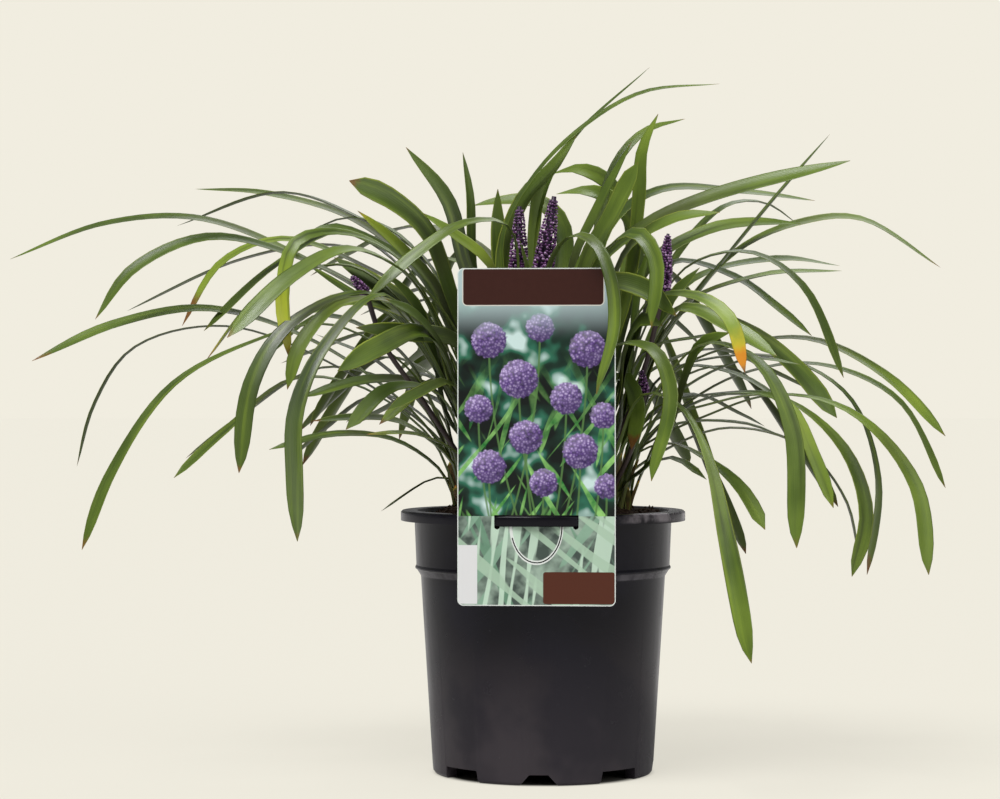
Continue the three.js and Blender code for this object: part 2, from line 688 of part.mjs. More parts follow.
function stemGeometry(flower) {
  const { ground, stalk, tip } = flowerRoute(flower);
  const top = stalk[stalk.length - 1];
  const ending = top.clone().addScaledVector(tip.clone().sub(top).normalize(), -stem.headGap);
  const halfway = ground.clone().setZ(ground.z + stem.upright / 2);
  const upright = ground.clone().setZ(ground.z + stem.upright);
  const curve = new THREE.CatmullRomCurve3([ground, halfway, upright, ...stalk.slice(0, -1), ending]);
  const section = new THREE.Shape();
  section.absarc(0, 0, stem.radius, 0, 2 * Math.PI);
  return new THREE.ExtrudeGeometry(section, { steps: stem.steps, curveSegments: 3, extrudePath: curve });
}

// A spike whose surface is raised into staggered whorls of florets.
function headGeometry(flower) {
  const { stalk, tip } = flowerRoute(flower);
  const foot = stalk[stalk.length - 1];
  const axis = tip.clone().sub(foot);
  const length = axis.length();
  const rows = 2 * flower.whorls;
  const columns = 2 * head.floretsPerWhorl;
  const positions = [0, 0, 0];
  for (let i = 0; i < rows; i += 1) {
    const share = (i + head.firstRow) / rows;
    const whorl = Math.floor(i / 2);
    for (let k = 0; k < columns; k += 1) {
      const angle = 2 * Math.PI * k / columns;
      const knob = i % 2 === 0 && (k + whorl) % 2 === 0;
      const radius = flower.radius * (1 - head.taper * share ** 3) * (knob ? 1 : head.groove);
      positions.push(radius * Math.cos(angle), radius * Math.sin(angle), share * length);
    }
  }
  positions.push(0, 0, length);
  const triangles = [];
  const last = positions.length / 3 - 1;
  for (let k = 0; k < columns; k += 1) {
    const next = (k + 1) % columns;
    triangles.push(0, 1 + next, 1 + k);
    for (let i = 1; i < rows; i += 1) {
      const below = 1 + (i - 1) * columns;
      const above = 1 + i * columns;
      triangles.push(below + k, below + next, above + next);
      triangles.push(below + k, above + next, above + k);
    }
    triangles.push(last - columns + k, last - columns + next, last);
  }
  const spike = meshData(positions, triangles);
  const upright = new THREE.Vector3(0, 0, 1);
  spike.applyQuaternion(new THREE.Quaternion().setFromUnitVectors(upright, axis.normalize()));
  return spike.translate(foot.x, foot.y, foot.z);
}

// ---- plant card ----

// The slot with a round cut under each end, and the tongue's curved cut that runs from the right
// of its lower edge.
function slotOutline() {
  const { slotHalfWidth, slotBottom, slotTop, slotLobe, tongueHalfWidth, tongueDepth, cut } = card;
  const steps = 10;
  const wall = (offset, k) => {
    const turn = card.tongueTurn * degrees * k / steps;
    const wide = tongueHalfWidth + offset;
    return new THREE.Vector2(wide * Math.cos(turn), slotBottom - (tongueDepth + offset) * Math.sin(turn));
  };
  const path = new THREE.Path();
  path.moveTo(-slotHalfWidth, slotTop);
  path.lineTo(-slotHalfWidth, slotBottom);
  path.absarc(-slotHalfWidth + slotLobe, slotBottom, slotLobe, Math.PI, 2 * Math.PI);
  const cutEdge = [];
  for (let k = 0; k <= steps; k += 1) cutEdge.push(wall(-cut / 2, k));
  for (let k = steps; k >= 0; k -= 1) cutEdge.push(wall(cut / 2, k));
  cutEdge.forEach((point) => path.lineTo(point.x, point.y));
  path.lineTo(slotHalfWidth - 2 * slotLobe, slotBottom);
  path.absarc(slotHalfWidth - slotLobe, slotBottom, slotLobe, Math.PI, 2 * Math.PI);
  path.lineTo(slotHalfWidth, slotTop);
  return path;
}

function cardOutline() {
  const half = card.width / 2;
  const low = card.bottom;
  const high = card.bottom + card.height;
  const r = card.corner;
  const outline = new THREE.Shape();
  outline.moveTo(-half + r, low);
  outline.lineTo(half - r, low);
  outline.absarc(half - r, low + r, r, -Math.PI / 2, 0);
  outline.lineTo(half, high - r);
  outline.absarc(half - r, high - r, r, 0, Math.PI / 2);
  outline.lineTo(-half + r, high);
  outline.absarc(-half + r, high - r, r, Math.PI / 2, Math.PI);
  outline.lineTo(-half, low + r);
  outline.absarc(-half + r, low + r, r, Math.PI, 1.5 * Math.PI);
  outline.holes.push(slotOutline());
  return outline;
}

function cardGeometry() {
  const sheet = new THREE.ExtrudeGeometry(cardOutline(), {
    depth: card.thickness, bevelEnabled: false, curveSegments: 4,
  });
  sheet.rotateX(Math.PI / 2);
  return sheet.translate(0, -card.distance, 0);
}

// ---- assembly ----

function piece(name, geometry, look) {
  const mesh = new THREE.Mesh(geometry, look);
  mesh.name = name;
  return mesh;
}

const plant = new THREE.Group();
plant.add(piece("pot", potGeometry(), blackPlastic));
plant.add(piece("soil", soilGeometry(), darkPeat));
tufts.forEach((tuft) => plant.add(piece(tuft.name, tuftGeometry(tuft), leafGreen)));
flowers.forEach((flower, i) => {
  plant.add(piece(`flower_stem_${i + 1}`, stemGeometry(flower), stemPurple));
  plant.add(piece(`flower_head_${i + 1}`, headGeometry(flower), floretPurple));
});

const cardMesh = piece("plant_card", cardGeometry(), printedCard);
cardMesh.rotation.z = card.turn * degrees;
plant.add(cardMesh);

export default plant;
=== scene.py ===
import math
import bpy
import bmesh
import numpy as np
from mathutils import Matrix, Vector


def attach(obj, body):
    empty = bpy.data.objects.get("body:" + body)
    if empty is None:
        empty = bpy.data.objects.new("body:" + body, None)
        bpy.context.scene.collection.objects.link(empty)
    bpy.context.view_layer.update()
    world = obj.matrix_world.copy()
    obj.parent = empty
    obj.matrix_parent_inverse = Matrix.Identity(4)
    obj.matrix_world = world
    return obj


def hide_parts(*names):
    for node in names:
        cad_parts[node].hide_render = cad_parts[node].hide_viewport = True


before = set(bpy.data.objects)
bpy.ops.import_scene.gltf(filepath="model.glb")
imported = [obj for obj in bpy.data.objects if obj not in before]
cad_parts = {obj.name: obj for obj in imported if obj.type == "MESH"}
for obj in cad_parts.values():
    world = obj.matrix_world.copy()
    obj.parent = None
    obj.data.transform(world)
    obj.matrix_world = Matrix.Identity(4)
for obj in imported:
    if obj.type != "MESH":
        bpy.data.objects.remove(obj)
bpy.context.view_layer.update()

mm = 0.001
scene = bpy.context.scene


def between(limits, share):
    return limits[0] + (limits[1] - limits[0]) * share


# node trees

# an output in a node tree; arithmetic with it adds further nodes to the tree
class Value:
    def __init__(self, tree, socket):
        self.tree = tree
        self.socket = socket

    def isVector(self):
        return self.socket.type in ("VECTOR", "RGBA")

    def __add__(self, other):
        return vec("ADD", self, other) if self.isVector() else calc("ADD", self, other)

    def __sub__(self, other):
        return vec("SUBTRACT", self, other) if self.isVector() else calc("SUBTRACT", self, other)

    def __rsub__(self, other):
        return calc("SUBTRACT", other, self)

    def __mul__(self, other):
        if not self.isVector():
            return calc("MULTIPLY", self, other)
        return vec("MULTIPLY" if isinstance(other, tuple) else "SCALE", self, other)

    def __truediv__(self, other):
        return calc("DIVIDE", self, other)

    def __pow__(self, other):
        return calc("POWER", self, other)

    def __gt__(self, other):
        return calc("GREATER_THAN", self, other)

    def __lt__(self, other):
        return calc("LESS_THAN", self, other)

    def __abs__(self):
        return calc("ABSOLUTE", self)


def put(socket, value):
    if isinstance(value, Value):
        value.tree.links.new(value.socket, socket)
    else:
        socket.default_value = (*value, 1.0) if socket.type == "RGBA" else value


# adds a node, sets it, fills its inputs and gives one of its outputs
def add(tree, kind, inputs={}, output=0, **settings):
    made = tree.nodes.new(kind)
    for name, value in settings.items():
        setattr(made, name, value)
    for name, value in inputs.items():
        put(made.inputs[name], value)
    return Value(tree, made.outputs[output])


def treeOf(values):
    return next(value.tree for value in values if isinstance(value, Value))


def calc(operation, *values):
    return add(treeOf(values), "ShaderNodeMath", dict(enumerate(values)), operation=operation)


def vec(operation, *values):
    inputs = dict(zip((0, "Scale") if operation == "SCALE" else (0, 1), values))
    output = "Value" if operation in ("DOT_PRODUCT", "LENGTH", "DISTANCE") else "Vector"
    return add(treeOf(values), "ShaderNodeVectorMath", inputs, output, operation=operation)


def mapped(value, low, high, outLow=0.0, outHigh=1.0, kind="SMOOTHSTEP"):
    inputs = {"Value": value, "From Min": low, "From Max": high, "To Min": outLow, "To Max": outHigh}
    return add(value.tree, "ShaderNodeMapRange", inputs, "Result", interpolation_type=kind)


def combined(x, y, z):
    return add(treeOf((x, y, z)), "ShaderNodeCombineXYZ", {"X": x, "Y": y, "Z": z})


def axesOf(vector):
    made = add(vector.tree, "ShaderNodeSeparateXYZ", {0: vector})
    return [Value(made.tree, socket) for socket in made.socket.node.outputs]


def noise(place, scale, detail=3.0, roughness=0.5):
    inputs = {"Vector": place, "Scale": scale, "Detail": detail, "Roughness": roughness}
    return add(place.tree, "ShaderNodeTexNoise", inputs, "Fac")


def blend(share, first, second):
    inputs = {0: share, 6: first, 7: second}
    return add(treeOf(inputs.values()), "ShaderNodeMix", inputs, 2, data_type="RGBA")


# lays colours over the first one, each by its share
def layered(color, *layers):
    for share, over in layers:
        color = blend(share, color, over)
    return color


def ramp(value, *stops):
    made = add(value.tree, "ShaderNodeValToRGB", {"Fac": value}, "Color")
    elements = made.socket.node.color_ramp.elements
    while len(elements) < len(stops):
        elements.new(0.5)
    for element, (place, color) in zip(elements, stops):
        element.position = place
        element.color = (*color, 1.0)
    return made


# materials

def newMaterial(name, roughness, specular):
    material = bpy.data.materials.new(name)
    material.use_nodes = True
    shader = material.node_tree.nodes["Principled BSDF"]
    shader.inputs["Roughness"].default_value = roughness
    shader.inputs["Specular IOR Level"].default_value = specular
    return material, material.node_tree, shader.inputs


def objectPlace(tree):
    return add(tree, "ShaderNodeTexCoord", output="Object")


def attributes(tree, *names):
    return [add(tree, "ShaderNodeAttribute", output="Fac", attribute_name=name) for name in names]


def bump(surface, height, distance, strength):
    inputs = {"Height": height, "Distance": distance, "Strength": strength}
    put(surface["Normal"], add(height.tree, "ShaderNodeBump", inputs))


# geometry node trees

def newGeometryTree(name, inputs):
    tree = bpy.data.node_groups.new(name, "GeometryNodeTree")
    tree.interface.new_socket("Geometry", in_out="INPUT", socket_type="NodeSocketGeometry")
    for label, value in inputs.items():
        kind = {int: "Int", float: "Float"}.get(type(value), "Material")
        socket = tree.interface.new_socket(label, in_out="INPUT", socket_type="NodeSocket" + kind)
        socket.default_value = value
    tree.interface.new_socket("Geometry", in_out="OUTPUT", socket_type="NodeSocketGeometry")
    start = tree.nodes.new("NodeGroupInput")
    return tree, {socket.name: Value(tree, socket) for socket in start.outputs}


def position(tree):
    return add(tree, "GeometryNodeInputPosition")


def named(tree, *names, kind="FLOAT"):
    return [add(tree, "GeometryNodeInputNamedAttribute", {"Name": name}, "Attribute", data_type=kind)
            for name in names]


def stored(geometry, name, value):
    inputs = {"Geometry": geometry, "Name": name, "Value": value}
    kind = "FLOAT_VECTOR" if value.isVector() else "FLOAT"
    return add(value.tree, "GeometryNodeStoreNamedAttribute", inputs, data_type=kind, domain="POINT")


def circle(tree, sides, radius):
    return add(tree, "GeometryNodeCurvePrimitiveCircle", {"Resolution": sides, "Radius": radius})


def sweep(lines, profile):
    curve = add(lines.tree, "GeometryNodeMeshToCurve", {"Mesh": lines})
    inputs = {"Curve": curve, "Profile Curve": profile, "Fill Caps": True}
    return add(lines.tree, "GeometryNodeCurveToMesh", inputs)


def moved(geometry, value, field="Position"):
    return add(geometry.tree, "GeometryNodeSetPosition", {"Geometry": geometry, field: value})


def joined(*parts):
    made = add(parts[0].tree, "GeometryNodeJoinGeometry")
    for part in parts:
        put(made.socket.node.inputs[0], part)
    return made


def finishTree(geometry, material):
    tree = geometry.tree
    smooth = add(tree, "GeometryNodeSetShadeSmooth", {"Geometry": geometry})
    real = add(tree, "GeometryNodeRealizeInstances", {"Geometry": smooth})
    painted = add(tree, "GeometryNodeSetMaterial", {"Geometry": real, "Material": material})
    put(tree.nodes.new("NodeGroupOutput").inputs["Geometry"], painted)
    return tree


# objects

def newObject(name, data):
    made = bpy.data.objects.new(name, data)
    scene.collection.objects.link(made)
    return made


def meshObject(name, vertices, edges, faces):
    mesh = bpy.data.meshes.new(name)
    mesh.from_pydata([tuple(v) for v in vertices], edges, faces)
    mesh.update()
    return newObject(name, mesh)


def storeOnPoints(mesh, name, column):
    column = np.array(column, dtype=np.float32)
    kind, field = ("FLOAT_VECTOR", "vector") if column.ndim == 2 else ("FLOAT", "value")
    mesh.attributes.new(name, kind, "POINT").data.foreach_set(field, column.ravel())


def addModifierTree(thing, tree, values):
    modifier = thing.modifiers.new(tree.name, "NODES")
    modifier.node_group = tree
    sockets = {item.name: item.identifier for item in tree.interface.items_tree if item.in_out == "INPUT"}
    for label, value in values.items():
        modifier[sockets[label]] = value


def faceOutwards(mesh, mergeWithin=0.0):
    work = bmesh.new()
    work.from_mesh(mesh)
    if mergeWithin:
        bmesh.ops.remove_doubles(work, verts=work.verts, dist=mergeWithin)
    bmesh.ops.recalc_face_normals(work, faces=work.faces)
    work.to_mesh(mesh)
    work.free()


def evaluatedMesh(thing):
    graph = bpy.context.evaluated_depsgraph_get()
    live = thing.evaluated_get(graph)
    return bpy.data.meshes.new_from_object(live, preserve_all_data_layers=True, depsgraph=graph)


# turns an object's live modifiers into a plain mesh
def settle(thing):
    mesh = evaluatedMesh(thing)
    mesh.name = thing.name
    thing.modifiers.clear()
    thing.data = mesh


def keep(thing, node):
    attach(thing, "root")
    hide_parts(node)
    print(thing.name, sum(len(face.vertices) - 2 for face in thing.data.polygons), "triangles")


# a closed body of rings round Z; a ring is a radius with a height, or with a function for it
def turnedObject(name, profile, segments):
    turns = [2 * math.pi * k / segments for k in range(segments)]
    vertices, rings, faces = [], [], []
    for radius, height in profile:
        around = turns if radius else [0]
        rings.append(range(len(vertices), len(vertices) + len(around)))
        for a in around:
            z = height(radius, a) if callable(height) else height
            vertices.append((radius * math.cos(a) * mm, radius * math.sin(a) * mm, z * mm))
    for low, high in zip(rings, rings[1:]):
        for k in range(segments):
            n = (k + 1) % segments
            corners = (low[k % len(low)], low[n % len(low)], high[n % len(high)], high[k % len(high)])
            faces.append(tuple(dict.fromkeys(corners)))
    return meshObject(name, vertices, [], faces)


# camera and light

camera = {"lens": 96.2, "sensor": 36.0, "place": (-0.0257, -1.6, 0.222)}
suns = [
    {"name": "keySun", "from": (-0.55, -0.8, 1.6), "angle": 30, "power": 2.9},
    {"name": "fillSun", "from": (1.1, -1.2, 0.9), "angle": 50, "power": 0.7},
    {"name": "rearSun", "from": (0.3, 1.0, 0.9), "angle": 40, "power": 0.6},
]
backdrop = {
    "color": (0.879, 0.847, 0.745), "dim": (0.21, 0.21, 0.21), "bounce": (0.47, 0.46, 0.45),
    "floor": (0.18, 0.174, 0.153), "glow": 0.735, "paintedShadowEdge": (0.058, 0.068),
    "floorSize": 60.0, "floorHeight": -0.0003,
}


def makeCamera():
    data = bpy.data.cameras.new("camera")
    data.lens = camera["lens"]
    data.sensor_width = camera["sensor"]
    eyepiece = newObject("camera", data)
    eyepiece.location = camera["place"]
    eyepiece.rotation_euler = (math.pi / 2, 0, 0)
    scene.camera = eyepiece


def makeLights():
    for sun in suns:
        data = bpy.data.lights.new(sun["name"], "SUN")
        data.energy = sun["power"]
        data.angle = math.radians(sun["angle"])
        lamp = newObject(sun["name"], data)
        lamp.location = sun["from"]
        lamp.rotation_euler = (-lamp.location).to_track_quat("-Z", "Y").to_euler()


# the room is pale to the camera and dimmer to the light that bounces about in it
def makeBackdrop():
    world = bpy.data.worlds.new("paleRoom")
    scene.world = world
    world.use_nodes = True
    seen = add(world.node_tree, "ShaderNodeLightPath", output="Is Camera Ray")
    put(world.node_tree.nodes["Background"].inputs["Color"], blend(seen, backdrop["dim"], backdrop["color"]))
    half = backdrop["floorSize"] / 2
    signs = ((-1, -1), (1, -1), (1, 1), (-1, 1))
    corners = [(x * half, y * half, backdrop["floorHeight"]) for x, y in signs]
    floor = meshObject("floor", corners, [], [(0, 1, 2, 3)])

    material, tree, surface = newMaterial("paleFloor", 1.0, 0.0)
    seen = add(tree, "ShaderNodeLightPath", output="Is Camera Ray")
    put(surface["Base Color"], blend(seen, backdrop["bounce"], backdrop["floor"]))
    put(surface["Emission Color"], backdrop["color"])
    # the floor glows to the camera only past the pot; the dark disc left under the pot is a painted shadow
    glowOutsidePaintedShadow = mapped(vec("LENGTH", objectPlace(tree)), *backdrop["paintedShadowEdge"])
    put(surface["Emission Strength"], seen * glowOutsidePaintedShadow * backdrop["glow"])
    floor.data.materials.append(material)
    scene.view_settings.view_transform = "Standard"


makeCamera()
makeLights()
makeBackdrop()
print("camera, lights and floor are set")


# nursery pot

pot = {
    "height": 156, "rimRadius": 85, "rimDrop": 6, "rimThickness": 1.6, "rimBevel": 1, "wall": 1.7,
    "collarTop": 77, "collarBottom": 75.6, "collarFoot": 122, "ledgeFoot": 117,
    "bodyTop": 73, "bodyBottom": 65.8, "footRing": 58, "footBevel": (1.2, 1.6),
    "floorHeight": 5, "floorThickness": 2.5, "padRadius": 16, "segments": 160,
    "notches": 8, "notchTurn": -3, "notchReach": (55, 69),
    # a notch is its widths at the foot and at the head, and its height
    "archNotch": (22, 11, 6.2), "wideNotch": (28, 26, 7),
    "drainHole": 4, "drainCircle": 48, "drainCutter": 12,
    # the ledge under the collar: how far out of the collar and above its foot each edge lies
    "ledge": [(-0.3, -1.3), (0.8, -0.5), (0.8, 0.3), (0.1, 1.4)],
    "edge": 0.55, "bevelOver": 20, "sharpOver": 35,
}


def potPlastic():
    material, tree, surface = newMaterial("blackPlastic", 0.24, 0.27)
    place = objectPlace(tree)
    x, _, z = axesOf(place)
    cloud = noise(place, 18.0)
    streaks = noise(place * (1.0, 1.0, 0.2), 120.0, 2.0)
    dust = mapped(noise(place, 75.0, 6.0, 0.7), 0.58, 0.8)
    # painted highlight: a light streaky line along the ledge under the collar
    ledge = mapped(z, 0.1168, 0.1178) * mapped(z, 0.1215, 0.1205)
    # painted highlight: light patches on one side of the rim
    rimHighlight = mapped(noise(place, 46.0, 4.0, 0.6), 0.4, 0.62) * mapped(x, 0.035, 0.06)
    # painted reflection: the body is lighter towards the bottom and darker up towards the collar
    put(surface["Base Color"], layered(
        (0.048, 0.040, 0.046), (mapped(z, 0.01, 0.11), (0.0028, 0.002, 0.005)),
        (mapped(cloud, 0.42, 0.6, 0.0, 0.55), (0.008, 0.0075, 0.0145)),
        (ledge * mapped(streaks, 0.3, 0.7, 0.3, 0.9), (0.12, 0.112, 0.125)),
        (dust * 0.16, (0.06, 0.057, 0.062)),
        (rimHighlight * mapped(z, 0.1502, 0.152, 0.0, 0.95), (0.24, 0.215, 0.23))))
    put(surface["Roughness"], mapped(streaks, 0.35, 0.7, 0.17, 0.27) + dust * 0.15)
    bump(surface, streaks + cloud * 1.5, 0.0001, 0.12)
    return material


def potProfile():
    top, wall = pot["height"], pot["wall"]
    rim, underRim = pot["rimRadius"], top - pot["rimThickness"]
    inFoot, upFoot = pot["footBevel"]
    floorTop = pot["floorHeight"] + pot["floorThickness"]
    return [
        (0, 0), (pot["padRadius"], 0), (pot["padRadius"], pot["floorHeight"]),
        (pot["footRing"], pot["floorHeight"]), (pot["footRing"], 0),
        (pot["bodyBottom"] - inFoot, 0), (pot["bodyBottom"], upFoot), (pot["bodyTop"], pot["ledgeFoot"]),
        *((pot["collarBottom"] + out, pot["collarFoot"] + up) for out, up in pot["ledge"]),
        (pot["collarTop"], underRim), (rim - wall, underRim), (rim - wall, top - pot["rimDrop"]),
        (rim, top - pot["rimDrop"]), (rim, top - pot["rimBevel"]), (rim - pot["rimBevel"], top),
        (pot["collarTop"] - wall, top), (pot["collarBottom"] - wall, pot["collarFoot"]),
        (pot["bodyTop"] - wall, pot["ledgeFoot"]), (pot["bodyBottom"] - wall, floorTop), (0, floorTop),
    ]


# a block with sloping sides, across the pot's foot
def addNotch(work, shape, turn):
    foot, head, height = shape
    outline = [(-foot / 2, -height), (foot / 2, -height), (foot / 2, 0),
               (head / 2, height), (-head / 2, height), (-foot / 2, 0)]
    ends = [[work.verts.new(turn @ Vector((radius * mm, y * mm, z * mm))) for y, z in outline]
            for radius in pot["notchReach"]]
    made = [work.faces.new(ends[0]), work.faces.new(ends[1][::-1])]
    for k in range(len(outline)):
        n = (k + 1) % len(outline)
        made.append(work.faces.new((ends[0][n], ends[0][k], ends[1][k], ends[1][n])))
    bmesh.ops.recalc_face_normals(work, faces=made)


def potCutters():
    work = bmesh.new()
    for i in range(pot["notches"]):
        turn = Matrix.Rotation(math.radians(pot["notchTurn"] + 360 / pot["notches"] * i), 4, "Z")
        addNotch(work, pot["archNotch"] if i % 2 == 0 else pot["wideNotch"], turn)
        drainPlace = turn @ Matrix.Translation((pot["drainCircle"] * mm, 0, pot["floorHeight"] * mm))
        hole = pot["drainHole"] * mm
        bmesh.ops.create_cone(work, cap_ends=True, segments=24, radius1=hole, radius2=hole,
                              depth=pot["drainCutter"] * mm, matrix=drainPlace)
    mesh = bpy.data.meshes.new("potCutters")
    work.to_mesh(mesh)
    work.free()
    return newObject("potCutters", mesh)


def makePot():
    shell = turnedObject("nurseryPot", potProfile(), pot["segments"])
    cutters = potCutters()
    cut = shell.modifiers.new("notches", "BOOLEAN")
    cut.operation = "DIFFERENCE"
    cut.object = cutters
    cut.solver = "EXACT"
    rounding = shell.modifiers.new("edges", "BEVEL")
    rounding.width = pot["edge"] * mm
    rounding.segments = 3
    rounding.limit_method = "ANGLE"
    rounding.angle_limit = math.radians(pot["bevelOver"])
    settle(shell)
    bpy.data.objects.remove(cutters)
    shell.data.shade_smooth()
    shell.data.set_sharp_from_angle(angle=math.radians(pot["sharpOver"]))
    shell.data.materials.clear()
    shell.data.materials.append(potPlastic())
    keep(shell, "pot")


makePot()
print("pot is made")


# potting soil

soil = {
    "edgeHeight": 152.9, "mound": 7.9, "moundRadius": 73, "lump": 2.6, "rings": 46, "segments": 150,
    "gap": 0.3, "collarShare": 0.7, "aboveLedge": 1,
    "crumbs": 42000.0, "crumbSize": 1.35, "crumbSeed": 4, "crumbRough": 0.0022, "levelOver": 0.5,
    "crumbSpin": {"Max": (6.28, 6.28, 6.28)},
    "crumbScale": {"Min": (0.25, 0.25, 0.2), "Max": (1.0, 1.1, 0.7), "Seed": 7},
}


def soilHeight(radius, angle):
    rise = soil["mound"] * (1 - (radius / soil["moundRadius"]) ** 2)
    waves = (math.sin(3 * angle + radius / 9) + math.sin(7 * angle - radius / 6)
             + math.sin(5 * angle + radius / 3.1))
    return soil["edgeHeight"] + rise + soil["lump"] * waves / 3


def peat():
    material, tree, surface = newMaterial("darkPeat", 0.95, 0.2)
    place = objectPlace(tree)
    coarse = noise(place, 320.0, 5.0, 0.6)
    shade = ramp(coarse, (0.3, (0.012, 0.007, 0.005)), (0.52, (0.045, 0.026, 0.017)),
                 (0.72, (0.115, 0.072, 0.045)))
    put(surface["Base Color"], blend(noise(place, 60.0, 2.0) * 0.5, shade, (0.03, 0.017, 0.012)))
    bump(surface, coarse, 0.0009, 0.9)
    return material


# crumbs of many sizes, lying on what faces up
def crumbTree(inputs):
    tree, given = newGeometryTree("soilCrumbs", inputs)
    steep = vec("DOT_PRODUCT", add(tree, "GeometryNodeInputNormal"), (0.0, 0.0, 1.0))
    points = add(tree, "GeometryNodeDistributePointsOnFaces", {
        "Mesh": given["Geometry"], "Selection": steep > soil["levelOver"],
        "Density": given["crumbsPerArea"], "Seed": given["seed"]}, "Points", distribute_method="RANDOM")
    crumb = add(tree, "GeometryNodeMeshIcoSphere", {"Radius": 1.0, "Subdivisions": 2})
    spin, size = (add(tree, "FunctionNodeRandomValue", soil[name], data_type="FLOAT_VECTOR")
                  for name in ("crumbSpin", "crumbScale"))
    crumbs = add(tree, "GeometryNodeInstanceOnPoints", {
        "Points": points, "Instance": crumb, "Rotation": spin, "Scale": size * given["crumbSize"]})
    real = add(tree, "GeometryNodeRealizeInstances", {"Geometry": crumbs})
    rough = add(tree, "ShaderNodeTexNoise", {"Scale": 900.0, "Vector": position(tree)}, "Color")
    push = (rough - (0.5, 0.5, 0.5)) * soil["crumbRough"]
    return finishTree(joined(given["Geometry"], moved(real, push, "Offset")), given["material"])


def makeSoil():
    inset = pot["wall"] + soil["gap"]
    floor = pot["floorHeight"] + pot["floorThickness"] + soil["gap"]
    edge = between((pot["collarBottom"], pot["collarTop"]), soil["collarShare"]) - inset
    profile = [(0, floor), (pot["bodyBottom"] - inset, floor), (pot["bodyTop"] - inset, pot["ledgeFoot"]),
               (pot["collarBottom"] - inset, pot["collarFoot"] + soil["aboveLedge"])]
    profile += [(edge * (1 - i / soil["rings"]), soilHeight) for i in range(soil["rings"] + 1)]
    body = turnedObject("pottingSoil", profile, soil["segments"])
    inputs = {"crumbsPerArea": soil["crumbs"], "crumbSize": soil["crumbSize"] * mm,
              "seed": soil["crumbSeed"], "material": peat()}
    addModifierTree(body, crumbTree(inputs), inputs)
    settle(body)
    keep(body, "soil")


makeSoil()
print("soil is made")


# leaves

# Leaves and flower stems are laid out on an upright board through the pot's axis, by where an
# eye in front of the pot sees them against it. Each point then moves along its line of sight.
eye = {"x": -26, "z": 222, "distance": 1600, "climbShare": 0.35}

crown = {"inner": 20, "outer": 52, "innerHalfWidth": 3.2, "outerHalfWidth": 6, "rowOffset": 0.38,
         "bottom": 147, "leafFoot": 151}

leaf = {
    "footHalfWidth": 1.3, "tipWidth": 0.03, "thickness": 0.32, "keel": 0.35, "keelWidth": 0.24,
    "channel": 0.2, "foldAtFoot": 0.6, "foldTo": 0.6, "foldPower": 1.4, "profilePoints": 12,
    "step": 8.5, "shoulder": 0.45, "shoulderLift": 0.1, "waver": 20.0, "waves": 3.2, "waveStep": 7.3,
    "tipPower": 2.8, "bluntPower": 3.2, "bluntFrom": 14.5, "bluntTaper": 0.9,
    # each pair is for a leaf that stands and for one whose end hangs by this share of its length
    "hanging": 0.2, "spread": (0.05, 0.36), "widest": (0.68, 0.88), "taper": (0.76, 0.9),
    "firstRoll": (0.5, 0.15), "rollPower": (1, 2),
}
